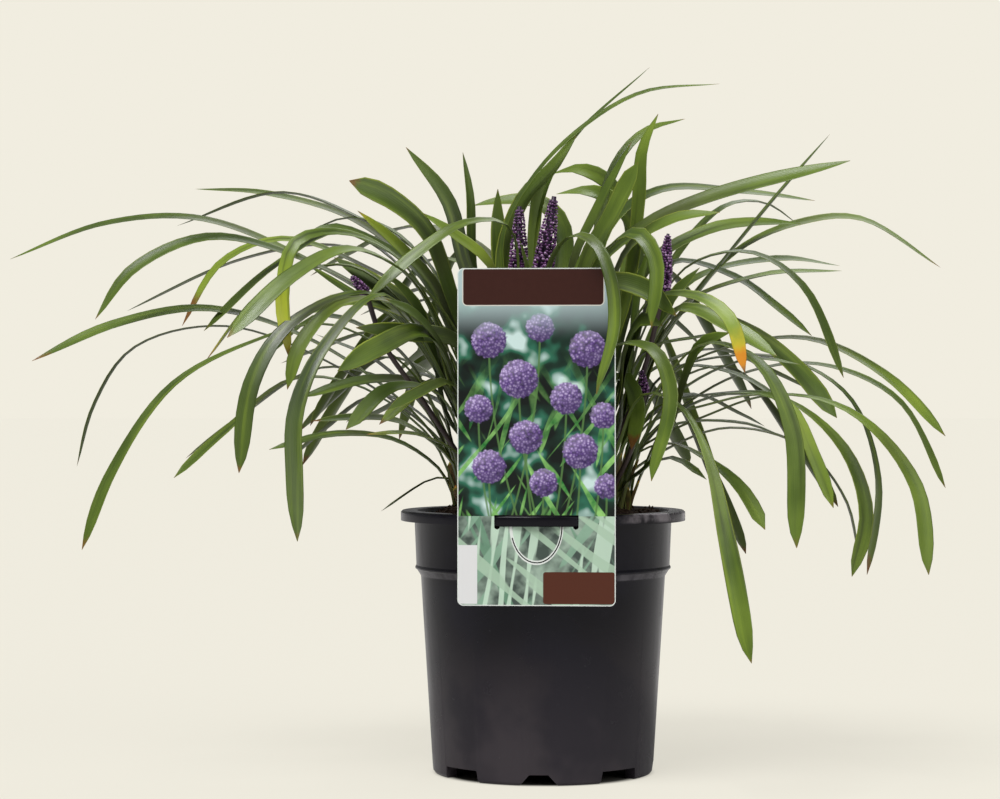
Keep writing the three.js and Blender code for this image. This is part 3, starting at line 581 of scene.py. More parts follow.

# One row a leaf: depth of its tip, width, roll in degrees that turns its upper face to the front,
# tone from dark to yellow, which also paints shade and light: darker for leaves in shade, lighter for lit
# ones, wear of the tip, and its points on the board from the foot to the tip.
tufts = [
    {"name": "tuft_left", "bearing": 180, "leaves": [
        [10, 4.5, 10, 0.1, 0.3, [-56, 175], [-68, 174], [-83, 165], [-97, 155]],
        [-10, 7.5, 40, 0.38, 0.08, [-62, 180], [-90, 198], [-125, 201], [-164, 192]],
        [-15, 8, 45, 0.43, 0.08, [-68, 200], [-110, 230], [-150, 234], [-190, 203], [-221, 175]],
        [30, 6, 10, 0.13, 0.05, [-70, 215], [-100, 245], [-136, 261]],
        [10, 7, 30, 0.28, 0.05, [-85, 250], [-133, 272], [-163, 249]],
        [60, 7.5, 8, 0.13, 0.08, [-62, 198], [-120, 240], [-190, 266], [-245, 253], [-268, 220], [-279, 182]],
        [-25, 10, 35, 0.38, 0.3, [-86, 222], [-140, 258], [-200, 276], [-255, 267], [-306, 245]],
        [-20, 12, 50, 0.38, 0.08, [-71, 264], [-110, 282], [-150, 272]],
        [20, 12, 60, 0.15, 0.05, [-74, 271], [-100, 291], [-125, 307]],
        [20, 9, 20, 0.9, 0.4, [-70, 262], [-115, 302], [-165, 288], [-202, 245]],
        [-20, 9, 40, 0.18, 0.08, [-75, 290], [-120, 322], [-160, 302], [-203, 263]],
        [-40, 9, 50, 0.33, 0.08, [-90, 275], [-147, 307], [-200, 319], [-245, 300], [-268, 270]],
        [45, 9.5, 30, 0.48, 0.08, [-90, 272], [-147, 308], [-206, 330], [-262, 327], [-319, 306]],
        [-15, 9, 45, 0.23, 0.05, [-75, 298], [-105, 318], [-128, 325], [-148, 317]],
    ]},
    {"name": "tuft_left_front", "bearing": 203, "leaves": [
        [-45, 9, 30, 0.4, 0.4, [-55, 185], [-85, 208], [-110, 211], [-138, 209]],
        [-42, 9, 45, 0.3, 0.08, [-66, 228], [-100, 234], [-146, 223]],
        [-75, 8.5, 50, 0.4, 0.15, [-80, 240], [-128, 267], [-175, 256], [-222, 230], [-258, 178],
         [-276, 132]],
        [12, 8, 50, 0.8, 0.7, [-75, 280], [-110, 303], [-155, 318], [-192, 304], [-216, 266]],
        [-40, 10.5, 60, 0.98, 0.08, [-62, 285], [-90, 317], [-111, 335]],
        [-35, 10.5, 60, 0.75, 0.08, [-31, 300], [-55, 322], [-73, 334]],
        [-50, 11, 60, 0.15, 0.05, [-58, 212], [-66, 248], [-76, 278], [-94, 298]],
        [-55, 14.5, 75, 0.35, 0.15, [-55, 282], [-70, 322], [-92, 342], [-116, 353]],
    ]},
    {"name": "tuft_front_left", "bearing": 227, "leaves": [
        [-88, 7, 20, 1.0, 0.5, [-49, 188], [-75, 201], [-106, 201]],
        [-100, 9, 60, 0.37, 0.08, [-62, 225], [-91, 229], [-118, 204]],
        [-95, 7, 60, 0.32, 0.08, [-55, 232], [-75, 226], [-93, 216]],
        [-75, 7, 50, 0.8, 0.3, [-50, 222], [-64, 233], [-82, 221], [-98, 207]],
        [-85, 12, 75, 0.12, 0.05, [-50, 255], [-85, 262], [-112, 265]],
        [-120, 12, 75, 0.42, 0.08, [-70, 262], [-100, 253], [-123, 239]],
        [-105, 9, 50, 0.7, 0.08, [-59, 255], [-90, 280], [-122, 279], [-145, 255], [-153, 228]],
        [-150, 10, 70, 0.32, 0.08, [-95, 285], [-130, 255], [-148, 215], [-149, 175], [-147, 137]],
        [-95, 11, 60, 0.12, 0.05, [-53, 234], [-62, 255], [-77, 273], [-94, 282]],
        [-110, 10, 70, 0.22, 0.08, [-100, 285], [-150, 268], [-174, 232], [-182, 178]],
        [-130, 11, 45, 0.5, 0.15, [-55, 268], [-85, 300], [-116, 312], [-150, 296], [-189, 259]],
        [-90, 8, 80, 1.2, 0.2, [-85, 305], [-120, 322], [-148, 316], [-156, 285], [-152, 247]],
        [-70, 8, 50, 0.52, 0.08, [-20, 325], [-45, 328], [-75, 310], [-105, 283]],
    ]},
    {"name": "tuft_front", "bearing": 268, "leaves": [
        [-64, 10.5, 60, 0.4, 0.05, [-14, 220], [-30, 270], [-44, 292]],
        [-66, 10.5, 60, 0.3, 0.05, [8, 215], [22, 262], [33, 290]],
        [-52, 10.5, 70, 0.3, 0.05, [-4, 240], [-8, 290], [-14, 318]],
        [-54, 10.5, 60, 0.35, 0.05, [4, 230], [14, 280], [24, 312]],
        [-132, 8.5, 60, 0.5, 0.08, [4, 302], [17, 320], [31, 316], [41, 294], [43, 264], [32, 225]],
    ]},
    {"name": "tuft_front_right", "bearing": 312, "leaves": [
        [-60, 10.5, 75, 0.5, 0.6, [40, 235], [50, 235], [57, 215], [53, 192]],
        [-120, 11, 75, 0.45, 0.08, [40, 252], [66, 252], [77, 225], [65, 173]],
        [-150, 11.5, 80, 0.5, 0.08, [60, 225], [82, 218], [98, 190], [110, 140], [125, 64]],
        [-110, 8, 60, 0.9, 0.8, [62, 280], [92, 284], [112, 270], [121, 238]],
        [-130, 10.5, 80, 0.4, 0.08, [95, 255], [128, 245], [149, 205], [152, 133]],
        [-70, 12, 70, 0.15, 0.05, [46, 204], [48, 231], [53, 252], [60, 268]],
        [-100, 12, 70, 0.3, 0.08, [35, 290], [62, 288], [80, 272]],
        [-85, 12, 70, 0.2, 0.05, [46, 222], [50, 252], [60, 270], [72, 266]],
        [-110, 10, 70, 0.4, 0.08, [30, 300], [55, 322], [68, 305], [65, 265]],
        [-50, 14.5, 80, 0.45, 0.08, [25, 300], [42, 333], [57, 364]],
    ]},
    {"name": "tuft_right_front", "bearing": 338, "leaves": [
        [-60, 10.5, 40, 0.53, 0.08, [52, 186], [75, 196], [98, 186], [118, 169], [133, 144]],
        [-100, 8, 60, 0.8, 0.08, [65, 215], [100, 225], [144, 221], [163, 186], [174, 157]],
        [-50, 10.5, 60, 0.53, 0.08, [60, 205], [95, 218], [139, 224], [178, 195], [193, 155], [185, 116]],
        [-85, 10.5, 55, 0.58, 0.08, [55, 190], [97, 212], [140, 225], [185, 214], [222, 172], [231, 117]],
        [-90, 7, 15, 0.38, 0.08, [80, 225], [122, 246], [154, 243]],
        [-60, 7, 20, 0.48, 0.08, [60, 250], [91, 259], [113, 262]],
        [-75, 11, 70, 0.38, 0.05, [64, 183], [77, 204], [86, 236], [95, 255], [112, 262]],
        [-80, 10.5, 50, 0.58, 0.08, [80, 276], [114, 265], [140, 248]],
        [-40, 12.5, 70, 0.28, 0.05, [85, 275], [120, 265], [150, 242], [176, 211]],
        [-55, 9.5, 35, 0.28, 0.08, [70, 282], [90, 304], [124, 310], [155, 290], [180, 235]],
        [-45, 12, 70, 0.38, 0.05, [49, 210], [54, 252], [58, 288], [65, 317]],
        [-60, 10.5, 55, 0.53, 0.08, [50, 310], [78, 330], [106, 334]],
        [-20, 10.5, 60, 0.43, 0.08, [18, 300], [34, 338], [53, 376]],
    ]},
    {"name": "tuft_right", "bearing": 2, "leaves": [
        [-20, 7, 20, 0.48, 0.08, [55, 177], [77, 187], [98, 174]],
        [20, 7, 10, 0.38, 0.08, [75, 205], [119, 208], [146, 199]],
        [0, 9, 30, 0.53, 0.08, [80, 240], [118, 236], [158, 208]],
        [30, 9.5, 60, 0.48, 0.3, [70, 235], [110, 248], [150, 245], [184, 222], [200, 175], [194, 117]],
        [-20, 10.5, 40, 0.58, 0.08, [73, 234], [110, 253], [160, 258], [205, 236], [241, 200]],
        [-10, 11, 50, 0.25, 0.05, [58, 222], [67, 252], [77, 282], [94, 301]],
        [-35, 9, 25, 0.5, 0.08, [80, 275], [130, 296], [179, 299]],
        [10, 10.5, 40, 0.35, 0.08, [75, 303], [115, 295], [140, 277], [161, 260]],
        [-10, 9, 10, 0.4, 0.08, [65, 248], [90, 282], [130, 332], [172, 381]],
        [50, 8.5, 35, 0.55, 0.2, [86, 278], [118, 312], [155, 328], [190, 330], [238, 301]],
        [20, 10.5, 40, 0.4, 0.08, [62, 300], [98, 323], [127, 328], [156, 327]],
        [-30, 12.5, 50, 0.5, 0.08, [32, 298], [60, 325], [100, 343], [184, 365]],
        [-5, 10.5, 65, 0.65, 0.08, [52, 290], [58, 342], [60, 372], [69, 393]],
    ]},
    {"name": "tuft_right_back", "bearing": 28, "spare": 3, "leaves": [
        [40, 6, 10, 0.3, 0.08, [75, 210], [103, 224], [135, 225]],
        [90, 9, 40, 0.2, 0.08, [70, 190], [110, 205], [155, 194], [181, 162], [189, 129]],
        [60, 9, 55, 0.4, 0.08, [80, 215], [118, 237], [165, 243], [212, 222], [241, 169]],
        [75, 9, 25, 0.4, 0.08, [85, 290], [140, 306], [178, 302]],
        [90, 7, 20, 0.4, 0.08, [75, 300], [108, 337], [132, 340], [154, 326]],
        [60, 10.5, 30, 0.4, 0.08, [40, 325], [70, 347], [120, 346], [163, 341]],
        [60, 6, 50, 0.4, 0.08, [40, 355], [60, 382], [85, 390]],
    ]},
    {"name": "tuft_back_right", "bearing": 62, "spare": 7, "leaves": [
        [80, 10.5, 60, 0.5, 0.05, [58, 312], [44, 341], [27, 347], [8, 345]],
        [100, 11, 60, 0.5, 0.05, [54, 318], [42, 350], [22, 360], [5, 357]],
    ]},
    {"name": "tuft_back", "bearing": 94, "spare": 9, "leaves": [
        [60, 10.5, 60, 0.5, 0.05, [12, 325], [-2, 340], [-26, 341], [-42, 338]],
    ]},
    {"name": "tuft_back_left", "bearing": 126, "spare": 10, "leaves": []},
    {"name": "tuft_left_back", "bearing": 155, "spare": 5, "leaves": [
        [45, 7, 40, 0.12, 0.05, [-80, 265], [-112, 284], [-141, 303]],
        [90, 10.5, 10, 0.17, 0.08, [-80, 295], [-122, 314], [-180, 306], [-249, 275]],
        [50, 6, 5, 0.22, 0.05, [-80, 315], [-115, 331], [-145, 320]],
        [80, 7.5, 3, 0.22, 0.08, [-70, 305], [-109, 330], [-156, 346], [-219, 326]],
        [110, 9, 25, 0.37, 0.08, [-68, 292], [-110, 328], [-165, 345], [-208, 348]],
    ]},
    {"name": "tuft_middle", "bearing": 90, "inner": -6, "outer": 9, "halfWidth": 6, "leaves": [
        [20, 10.5, 70, 0.35, 0.08, [-25, 300], [-27, 330], [-27, 348]],
        [30, 7.5, 30, 0.35, 0.05, [-41, 290], [-44, 345], [-48, 370]],
        [15, 9.5, 70, 0.2, 0.08, [-47, 303], [-57, 341], [-82, 373]],
        [12, 9.5, 60, 0.45, 0.05, [-24, 305], [-12, 342], [3, 358], [20, 380]],
        [10, 4.5, 35, 0.45, 0.08, [-24, 318], [-5, 356], [25, 386], [60, 406], [106, 411]],
        [25, 9, 75, 0.5, 0.05, [-6, 318], [-1, 352], [7, 363], [22, 384]],
        [40, 4, 10, 0.3, 0.08, [-6, 300], [2, 348], [20, 380], [64, 421]],
    ]},
]

spareLeaf = {
    "seed": 282, "spread": 13, "lean": 0.7, "reach": (150, 255), "crest": (225, 335), "riseAt": 0.28,
    "crestAt": 0.66, "fallAt": 0.88, "riseBelow": 26, "fall": 0.55, "drop": (15, 120), "dropReach": 200,
    "dropPower": 1.5, "lowestTip": 95, "width": (8.5, 12.5), "roll": (-10, 20),
    "tones": (0.2, 0.3, 0.4, 0.5, 0.6), "wear": 0.2,
}
sheath = {
    "seed": 5, "perTuft": 6, "spread": 140, "height": (16, 42), "lean": (3, 16), "bendAt": (0.35, 0.5),
    "width": (4.5, 7.5), "roll": 60, "tone": (2.0, 1.7), "wear": 1.0,
}


def randomFrom(seed):
    state = [seed]

    def draw():
        state[0] = state[0] * 16807 % 2147483647
        return state[0] / 2147483647
    return draw


def fromBoard(point, y):
    grow = 1 + y / eye["distance"]
    return np.array([eye["x"] + (point[0] - eye["x"]) * grow, y, eye["z"] + (point[1] - eye["z"]) * grow])


def route(foot, boardPoints, depth):
    flat = [(foot[0], foot[2]), *boardPoints]
    run = [0.0]
    for a, b in zip(flat, flat[1:]):
        run.append(run[-1] + math.hypot(b[0] - a[0], eye["climbShare"] * (b[1] - a[1])))
    return [fromBoard(p, between((foot[1], depth), run[i + 1] / run[-1])) for i, p in enumerate(boardPoints)]


def crownHalfWidth(tuft, radius):
    if "halfWidth" in tuft:
        return tuft["halfWidth"]
    share = min(1, max(0, (radius - crown["inner"]) / (crown["outer"] - crown["inner"])))
    return between((crown["innerHalfWidth"], crown["outerHalfWidth"]), share)


# leaves stand in two rows along their tuft's crown, the first one outermost
def leafFoot(tuft, index, count):
    inner = tuft.get("inner", crown["inner"])
    outer = tuft.get("outer", crown["outer"])
    radius = between((outer, inner), index / max(1, count - 1))
    side = (crown["rowOffset"] if index % 2 == 0 else -crown["rowOffset"]) * crownHalfWidth(tuft, radius)
    c, s = math.cos(math.radians(tuft["bearing"])), math.sin(math.radians(tuft["bearing"]))
    return np.array([radius * c - side * s, radius * s + side * c, crown["leafFoot"]])


def sparePoints(foot, bearing, rank, draw):
    heading = math.radians(bearing + spareLeaf["spread"] * (2 * draw() - 1))
    reach = between(spareLeaf["reach"], draw())
    crest = between(spareLeaf["crest"], rank)
    drop = between(spareLeaf["drop"], draw() ** spareLeaf["dropPower"]) * reach / spareLeaf["dropReach"]
    tip = max(spareLeaf["lowestTip"], crest - drop)
    levels = [(spareLeaf["riseAt"], crest - spareLeaf["riseBelow"]), (spareLeaf["crestAt"], crest),
              (spareLeaf["fallAt"], between((crest, tip), spareLeaf["fall"])), (1, tip)]
    points = []
    for share, z in levels:
        radius = between((math.hypot(foot[0], foot[1]), reach), share)
        lean = share ** spareLeaf["lean"]
        points.append(np.array([between((foot[0], radius * math.cos(heading)), lean),
                                between((foot[1], radius * math.sin(heading)), lean), z]))
    return points


# evenly spaced points on a smooth curve through the given ones
def smoothPath(points, step, samples=24):
    points = [np.array(p, float) for p in points]
    ends = [2 * points[0] - points[1], *points, 2 * points[-1] - points[-2]]
    dense = []
    for p0, p1, p2, p3 in zip(ends, ends[1:], ends[2:], ends[3:]):
        d0, d1, d2 = (max(1e-4, np.linalg.norm(b - a)) ** 0.5 for a, b in ((p0, p1), (p1, p2), (p2, p3)))
        m1 = ((p1 - p0) / d0 - (p2 - p0) / (d0 + d1) + (p2 - p1) / d1) * d1
        m2 = ((p2 - p1) / d1 - (p3 - p1) / (d1 + d2) + (p3 - p2) / d2) * d1
        square, cube = 3 * (p2 - p1) - 2 * m1 - m2, 2 * (p1 - p2) + m1 + m2
        for t in np.linspace(0, 1, samples, endpoint=False):
            dense.append(p1 + m1 * t + square * t ** 2 + cube * t ** 3)
    dense = np.array([*dense, points[-1]])
    run = np.concatenate([[0], np.cumsum(np.linalg.norm(np.diff(dense, axis=0), axis=1))])
    wanted = np.linspace(0, run[-1], max(8, int(round(run[-1] / step)) + 1))
    return np.stack([np.interp(wanted, run, dense[:, k]) for k in range(3)], axis=1)


# foot, points, width, roll, tone and wear of each leaf of a tuft
def leafRows(tuft):
    spare = tuft.get("spare", 0)
    count = len(tuft["leaves"]) + spare
    draw = randomFrom(spareLeaf["seed"] + tuft["bearing"])
    rows = []
    for i in range(spare):
        foot = leafFoot(tuft, i, count)
        points = sparePoints(foot, tuft["bearing"], (i + draw()) / count, draw)
        width = between(spareLeaf["width"], draw())
        roll = between(spareLeaf["roll"], draw())
        tone = spareLeaf["tones"][i % len(spareLeaf["tones"])]
        rows.append((foot, points, width, roll, tone, spareLeaf["wear"]))
    for i, (depth, width, roll, tone, wear, *board) in enumerate(tuft["leaves"]):
        foot = leafFoot(tuft, spare + i, count)
        rows.append((foot, route(foot, board, depth), width, roll, tone, wear))
    return rows + sheathRows(tuft)


# short dry sheaths round the tuft's foot
def sheathRows(tuft):
    draw = randomFrom(sheath["seed"] + tuft["bearing"])
    bendOut, bendUp = sheath["bendAt"]
    rows = []
    for i in range(sheath["perTuft"]):
        foot = leafFoot(tuft, i, sheath["perTuft"])
        heading = math.radians(tuft["bearing"] + sheath["spread"] * (draw() - 0.5))
        lean = between(sheath["lean"], draw())
        height = between(sheath["height"], draw())
        side = np.array([math.cos(heading), math.sin(heading), 0])
        points = [foot + bendOut * lean * side + (0, 0, bendUp * height), foot + lean * side + (0, 0, height)]
        rows.append((foot, points, between(sheath["width"], draw()), sheath["roll"] * draw(),
                     between(sheath["tone"], draw()), sheath["wear"]))
    return rows


# lines for one tuft's leaves, with what the blades need stored on their points
def leafLines(tuft):
    vertices, edges, columns = [], [], {}
    for number, (foot, points, width, roll, tone, wear) in enumerate(leafRows(tuft)):
        rise = points[0] - foot
        shoulder = foot + leaf["shoulder"] * rise
        shoulder[2] += leaf["shoulderLift"] * np.linalg.norm(rise)
        path = smoothPath([foot, shoulder, *points], leaf["step"])
        count = len(path)
        out = (points[-1] - foot) * (1, 1, 0)
        level = np.array([-out[1], out[0], 0]) / np.linalg.norm(out)
        hand = -1.0 if level[1] > 0 else 1.0
        along = np.gradient(path, axis=0)
        along /= np.linalg.norm(along, axis=1)[:, None]
        fall = (path[:, 2].max() - path[-1, 2]) / (count * leaf["step"])
        hang = min(1, fall / leaf["hanging"])
        hang = hang * hang * (3 - 2 * hang)
        blunt = width >= leaf["bluntFrom"]
        share = np.linspace(0, 1, count)
        turned = between((between(leaf["firstRoll"], hang), 1), share ** between(leaf["rollPower"], hang))
        values = {
            "along": along, "level": level * hand, "hand": hand, "share": share, "bladeWidth": width * mm,
            "spread": between(leaf["spread"], hang), "widest": between(leaf["widest"], hang),
            "taper": leaf["bluntTaper"] if blunt else between(leaf["taper"], hang),
            "tipPower": leaf["bluntPower"] if blunt else leaf["tipPower"],
            "roll": math.radians(roll) * turned, "tone": tone, "wear": wear,
            "leafSeed": number + tuft["bearing"] * 0.1,
        }
        for name, value in values.items():
            column = np.broadcast_to(value, (count, 3) if name in ("along", "level") else count)
            columns.setdefault(name, []).append(column)
        first = len(vertices)
        vertices += list(path * mm)
        edges += [(first + i, first + i + 1) for i in range(count - 1)]
    lines = meshObject(tuft["name"].replace("tuft_", "leaves_"), vertices, edges, [])
    for name, parts in columns.items():
        storeOnPoints(lines.data, name, np.concatenate(parts))
    return lines


def bladeTree(inputs):
    tree, given = newGeometryTree("strapBlades", inputs)
    share, seed, hand, roll, width = named(tree, "share", "leafSeed", "hand", "roll", "bladeWidth")
    along, level = named(tree, "along", "level", kind="FLOAT_VECTOR")
    cross = vec("NORMALIZE", level - along * vec("DOT_PRODUCT", level, along))
    up = vec("CROSS_PRODUCT", along, cross) * hand

    # the blade turns over along its length and wavers a little
    spot = combined(share * leaf["waves"], seed * leaf["waveStep"], 0.0)
    drift = add(tree, "ShaderNodeTexNoise", {"Vector": spot, "Scale": 1.0}, "Fac", noise_dimensions="2D")
    turn = roll + (drift - 0.5) * calc("RADIANS", given["waver"])
    cosTurn, sinTurn = calc("COSINE", turn), calc("SINE", turn)
    side = cross * cosTurn - up * sinTurn
    upward = up * cosTurn + cross * sinTurn

    # the blade widens from its foot and narrows to the tip
    spread, widest, taper, tipPower = named(tree, "spread", "widest", "taper", "tipPower")
    foot = given["footHalfWidth"]
    widened = foot + (width * 0.5 - foot) * mapped(share, spread, widest)
    end = mapped(share, taper, 1.0, kind="LINEAR") ** tipPower
    narrow = 1.0 - end * (1.0 - given["tipWidth"])

    lines = given["Geometry"]
    onLines = {"centre": position(tree), "side": side, "upward": upward, "halfWidth": widened * narrow,
               "narrow": narrow}
    for name, value in onLines.items():
        lines = stored(lines, name, value)
    x, y, _ = axesOf(position(tree))
    ring = stored(circle(tree, given["profilePoints"], 1.0), "across", x)
    blade = sweep(lines, stored(ring, "face", y))

    # section: a folded channel with a keel underneath
    share, across, face, half, narrow = named(tree, "share", "across", "face", "halfWidth", "narrow")
    centre, side, upward = named(tree, "centre", "side", "upward", kind="FLOAT_VECTOR")
    fold = mapped(share, 0.0, leaf["foldTo"], given["foldAtFoot"], given["channel"])
    lift = half * fold * abs(across) ** leaf["foldPower"]
    body = face * given["thickness"] * narrow
    rib = calc("EXPONENT", (across / leaf["keelWidth"]) ** 2.0 * -1.0)
    keel = rib * (face < 0.0) * given["keel"] * narrow
    place = centre + (side * (half * across) + upward * (lift + body - keel))
    return finishTree(moved(blade, place), given["material"])


def leafGreen():
    material, tree, surface = newMaterial("strapLeaf", 0.42, 0.40)
    place = objectPlace(tree)
    share, across, face, seed = attributes(tree, "share", "across", "face", "leafSeed")
    leafTone, wear = attributes(tree, "tone", "wear")
    # the yellow of an old leaf keeps to its end
    ripeFrom = mapped(leafTone, 0.7, 0.85, 0.4, 0.75)
    ripe = calc("MAXIMUM", mapped(share, ripeFrom, ripeFrom + 0.14), leafTone > 1.5)
    green = calc("MINIMUM", leafTone, 0.5)
    tone = green + (leafTone - green) * ripe
    blotch = noise(place, 26.0)
    color = ramp(
        (tone + (blotch - 0.5) * 0.8) / 2.0, (0.0, (0.012, 0.026, 0.004)), (0.18, (0.050, 0.088, 0.010)),
        (0.34, (0.145, 0.215, 0.022)), (0.50, (0.310, 0.410, 0.034)), (0.66, (0.60, 0.58, 0.035)),
        (0.84, (0.30, 0.16, 0.06)), (1.0, (0.16, 0.085, 0.04)))
    band = noise(combined(across, share, seed) * (1.4, 3.0, 11.0), 1.0, 2.0)
    dull = mapped(noise(combined(seed, share * 2.2, 3.5), 1.3, 2.0), 0.44, 0.62, 0.0, 0.62)
    veins = calc("SINE", across * 34.0)
    margin = mapped(noise(combined(seed, share, 0.5), 1.7, 1.0), 0.42, 0.6, 0.0, 0.6)
    color = layered(
        color, (mapped(band, 0.5, 0.8, 0.0, 0.5), (0.24, 0.33, 0.03)),
        (mapped(band, 0.48, 0.2, 0.0, 0.75), (0.010, 0.020, 0.003)),
        # the middle of some blades is a dull brownish olive
        (dull * mapped(share, 0.9, 0.6), (0.052, 0.050, 0.022)),
        (mapped(share, 0.7, 0.98, 0.0, 0.22), (0.20, 0.30, 0.03)),
        (mapped(veins, -1.0, 1.0, 0.0, 0.04), (0.30, 0.36, 0.12)),
        # margins, the underside and the pale foot
        (mapped(abs(across), 0.80, 0.97) * margin, (0.34, 0.40, 0.05)),
        (mapped(face, -0.1, 0.1, 0.3, 0.0), (0.11, 0.15, 0.045)),
        (mapped(share, 0.02, 0.15, 0.5, 0.0), (0.28, 0.29, 0.10)))
    # worn tips: a bright leaf goes through yellow to orange, and its point is brown
    past = share + (noise(place, 160.0) - 0.5) * 0.05 - (1.0 - wear * 0.10)
    isBright = leafTone > 0.85
    orange = blend(mapped(past, 0.0, 0.04), (0.56, 0.47, 0.03), (0.68, 0.26, 0.02))
    orange = blend(mapped(share, 0.975, 0.995), orange, (0.26, 0.13, 0.05))
    worn = mapped(past, -0.012 - isBright * 0.038, 0.02)
    color = blend(worn, color, blend(isBright, (0.20, 0.09, 0.02), orange))
    put(surface["Base Color"], color)
    put(surface["Roughness"], mapped(blotch, 0.3, 0.7, 0.28, 0.40))
    bump(surface, veins, 0.00004, 0.3)
    return material


def makeLeaves():
    inputs = {name: leaf[name] * mm for name in ("footHalfWidth", "thickness", "keel")}
    for name in ("tipWidth", "channel", "foldAtFoot", "waver", "profilePoints"):
        inputs[name] = leaf[name]
    inputs["material"] = leafGreen()
    tree = bladeTree(inputs)
    for tuft in tufts:
        lines = leafLines(tuft)
        addModifierTree(lines, tree, inputs)
        settle(lines)
        faceOutwards(lines.data)
        keep(lines, tuft["name"])


makeLeaves()
print("leaves are made")


# flowers

flower = {
    "stemRadius": 1.5, "stemSides": 14, "stemStep": 4.0, "stemUpright": 18, "smallest": 0.3, "fullFrom": 7,
    "budsPerWhorl": 17, "budSize": 1.05, "budSpread": (0.8, 1.1), "lastBuds": 0.55, "budLength": 1.25,
    "budPinch": 0.45, "budLift": 0.55, "fullTurn": 6.2832, "whorlTurn": 0.63, "turnJitter": 0.7,
    "whorlFrom": 0.15, "whorlSpread": 0.7, "spikeFrom": 0.02, "spikeSpread": 0.93,
    "reach": 0.86, "taper": 0.65, "coreRadius": (0.76, 0.2), "coreLength": 0.98, "coreSides": 12,
}

# One row a spike: foot on the soil, depth of the head, its radius at its foot, its whorls, its tip
# on the board, and the board points of the stem up to the head's foot.
spikes = [
    ((-11, -9), -22, 6.4, 34, (-14, 339), (-14, 215), (-15, 272)),
    ((9, -9), -40, 6.8, 36, (7, 345), (0, 215), (-4, 275)),
    ((27, -19), -60, 4.2, 22, (75, 322), (56, 225), (72, 285)),
    ((-37, -26), -66, 3, 8, (-115, 296), (-71, 220), (-95, 255), (-106, 286)),
    ((39, -28), -50, 2.8, 8, (59, 240), (52, 190), (61, 225)),
]


def stemSkin():
    material, tree, surface = newMaterial("flowerStem", 0.45, 0.5)
    place = objectPlace(tree)
    put(surface["Base Color"], blend(noise(place, 45.0), (0.030, 0.014, 0.026), (0.085, 0.06, 0.045)))
    bump(surface, noise(place * (1.0, 1.0, 0.1), 1500.0), 0.0001, 0.4)
    return material


def floretSkin():
    material, tree, surface = newMaterial("floret", 0.42, 0.45)
    share, tint, outward = attributes(tree, "share", "tint", "outward")
    color = ramp(tint, (0.0, (0.022, 0.006, 0.028)), (0.4, (0.088, 0.022, 0.100)),
                 (0.7, (0.22, 0.075, 0.25)), (1.0, (0.66, 0.44, 0.68)))
    # painted highlight: each bud is lighter at its outer end, which faces outwards and up
    put(surface["Base Color"], layered(
        color, (mapped(outward, 0.6, 1.0, 0.0, 0.4), (0.42, 0.20, 0.45)),
        (mapped(share, 0.8, 1.0, 0.0, 0.4), (0.06, 0.03, 0.07))))
    bump(surface, noise(objectPlace(tree), 1800.0), 0.0001, 0.3)
    return material


def stemTree(inputs):
    tree, given = newGeometryTree("flowerStalk", inputs)
    ring = circle(tree, flower["stemSides"], given["radius"])
    return finishTree(sweep(given["Geometry"], ring), given["material"])


# buds on whorls round a core that stands on the origin along +Z
def spikeTree(inputs):
    tree, given = newGeometryTree("flowerSpike", inputs)
    index = add(tree, "GeometryNodeInputIndex")
    jitter, wobble = (add(tree, "FunctionNodeRandomValue", {"Seed": seed}, 1, data_type="FLOAT")
                      for seed in (given["seed"], given["seed"] + 5.0))
    whorl = calc("FLOOR", (index + 0.5) / given["perWhorl"])
    share = (whorl + (jitter * flower["whorlSpread"] + flower["whorlFrom"])) / given["whorls"]
    turn = whorl * flower["whorlTurn"] + wobble * flower["turnJitter"]
    angle = index / given["perWhorl"] * flower["fullTurn"] + turn
    outX, outY = calc("COSINE", angle), calc("SINE", angle)
    reach = given["radius"] * (1.0 - share ** 3.0 * flower["taper"]) * flower["reach"]
    height = given["length"] * (share * flower["spikeSpread"] + flower["spikeFrom"])
    spot = combined(reach * outX, reach * outY, height)
    points = add(tree, "GeometryNodePoints", {"Count": given["whorls"] * given["perWhorl"], "Position": spot})
    points = stored(stored(points, "share", share), "tint", jitter)

    # petal tips pinch the bud's outer end, which points along +Z
    x, y, z = axesOf(position(tree))
    pinch = mapped(z, 0.1, 1.0, 1.0, flower["budPinch"])
    ball = stored(add(tree, "GeometryNodeMeshIcoSphere", {"Radius": 1.0, "Subdivisions": 2}), "outward", z)
    shape = combined(x * pinch, y * pinch, z * flower["budLength"])
    outAndUp = combined(outX, outY, flower["budLift"])
    aim = add(tree, "FunctionNodeAlignRotationToVector", {"Vector": outAndUp}, axis="Z")
    smaller = mapped(share, 0.2, 1.0, 1.0, flower["lastBuds"])
    size = smaller * mapped(wobble, 0.0, 1.0, *flower["budSpread"], "LINEAR")
    buds = add(tree, "GeometryNodeInstanceOnPoints", {
        "Points": points, "Instance": moved(ball, shape), "Rotation": aim, "Scale": given["budSize"] * size})
    low, high = flower["coreRadius"]
    core = add(tree, "GeometryNodeMeshCone", {
        "Vertices": flower["coreSides"], "Radius Bottom": given["radius"] * low,
        "Radius Top": given["radius"] * high, "Depth": given["length"] * flower["coreLength"]})
    return finishTree(joined(core, buds), given["material"])


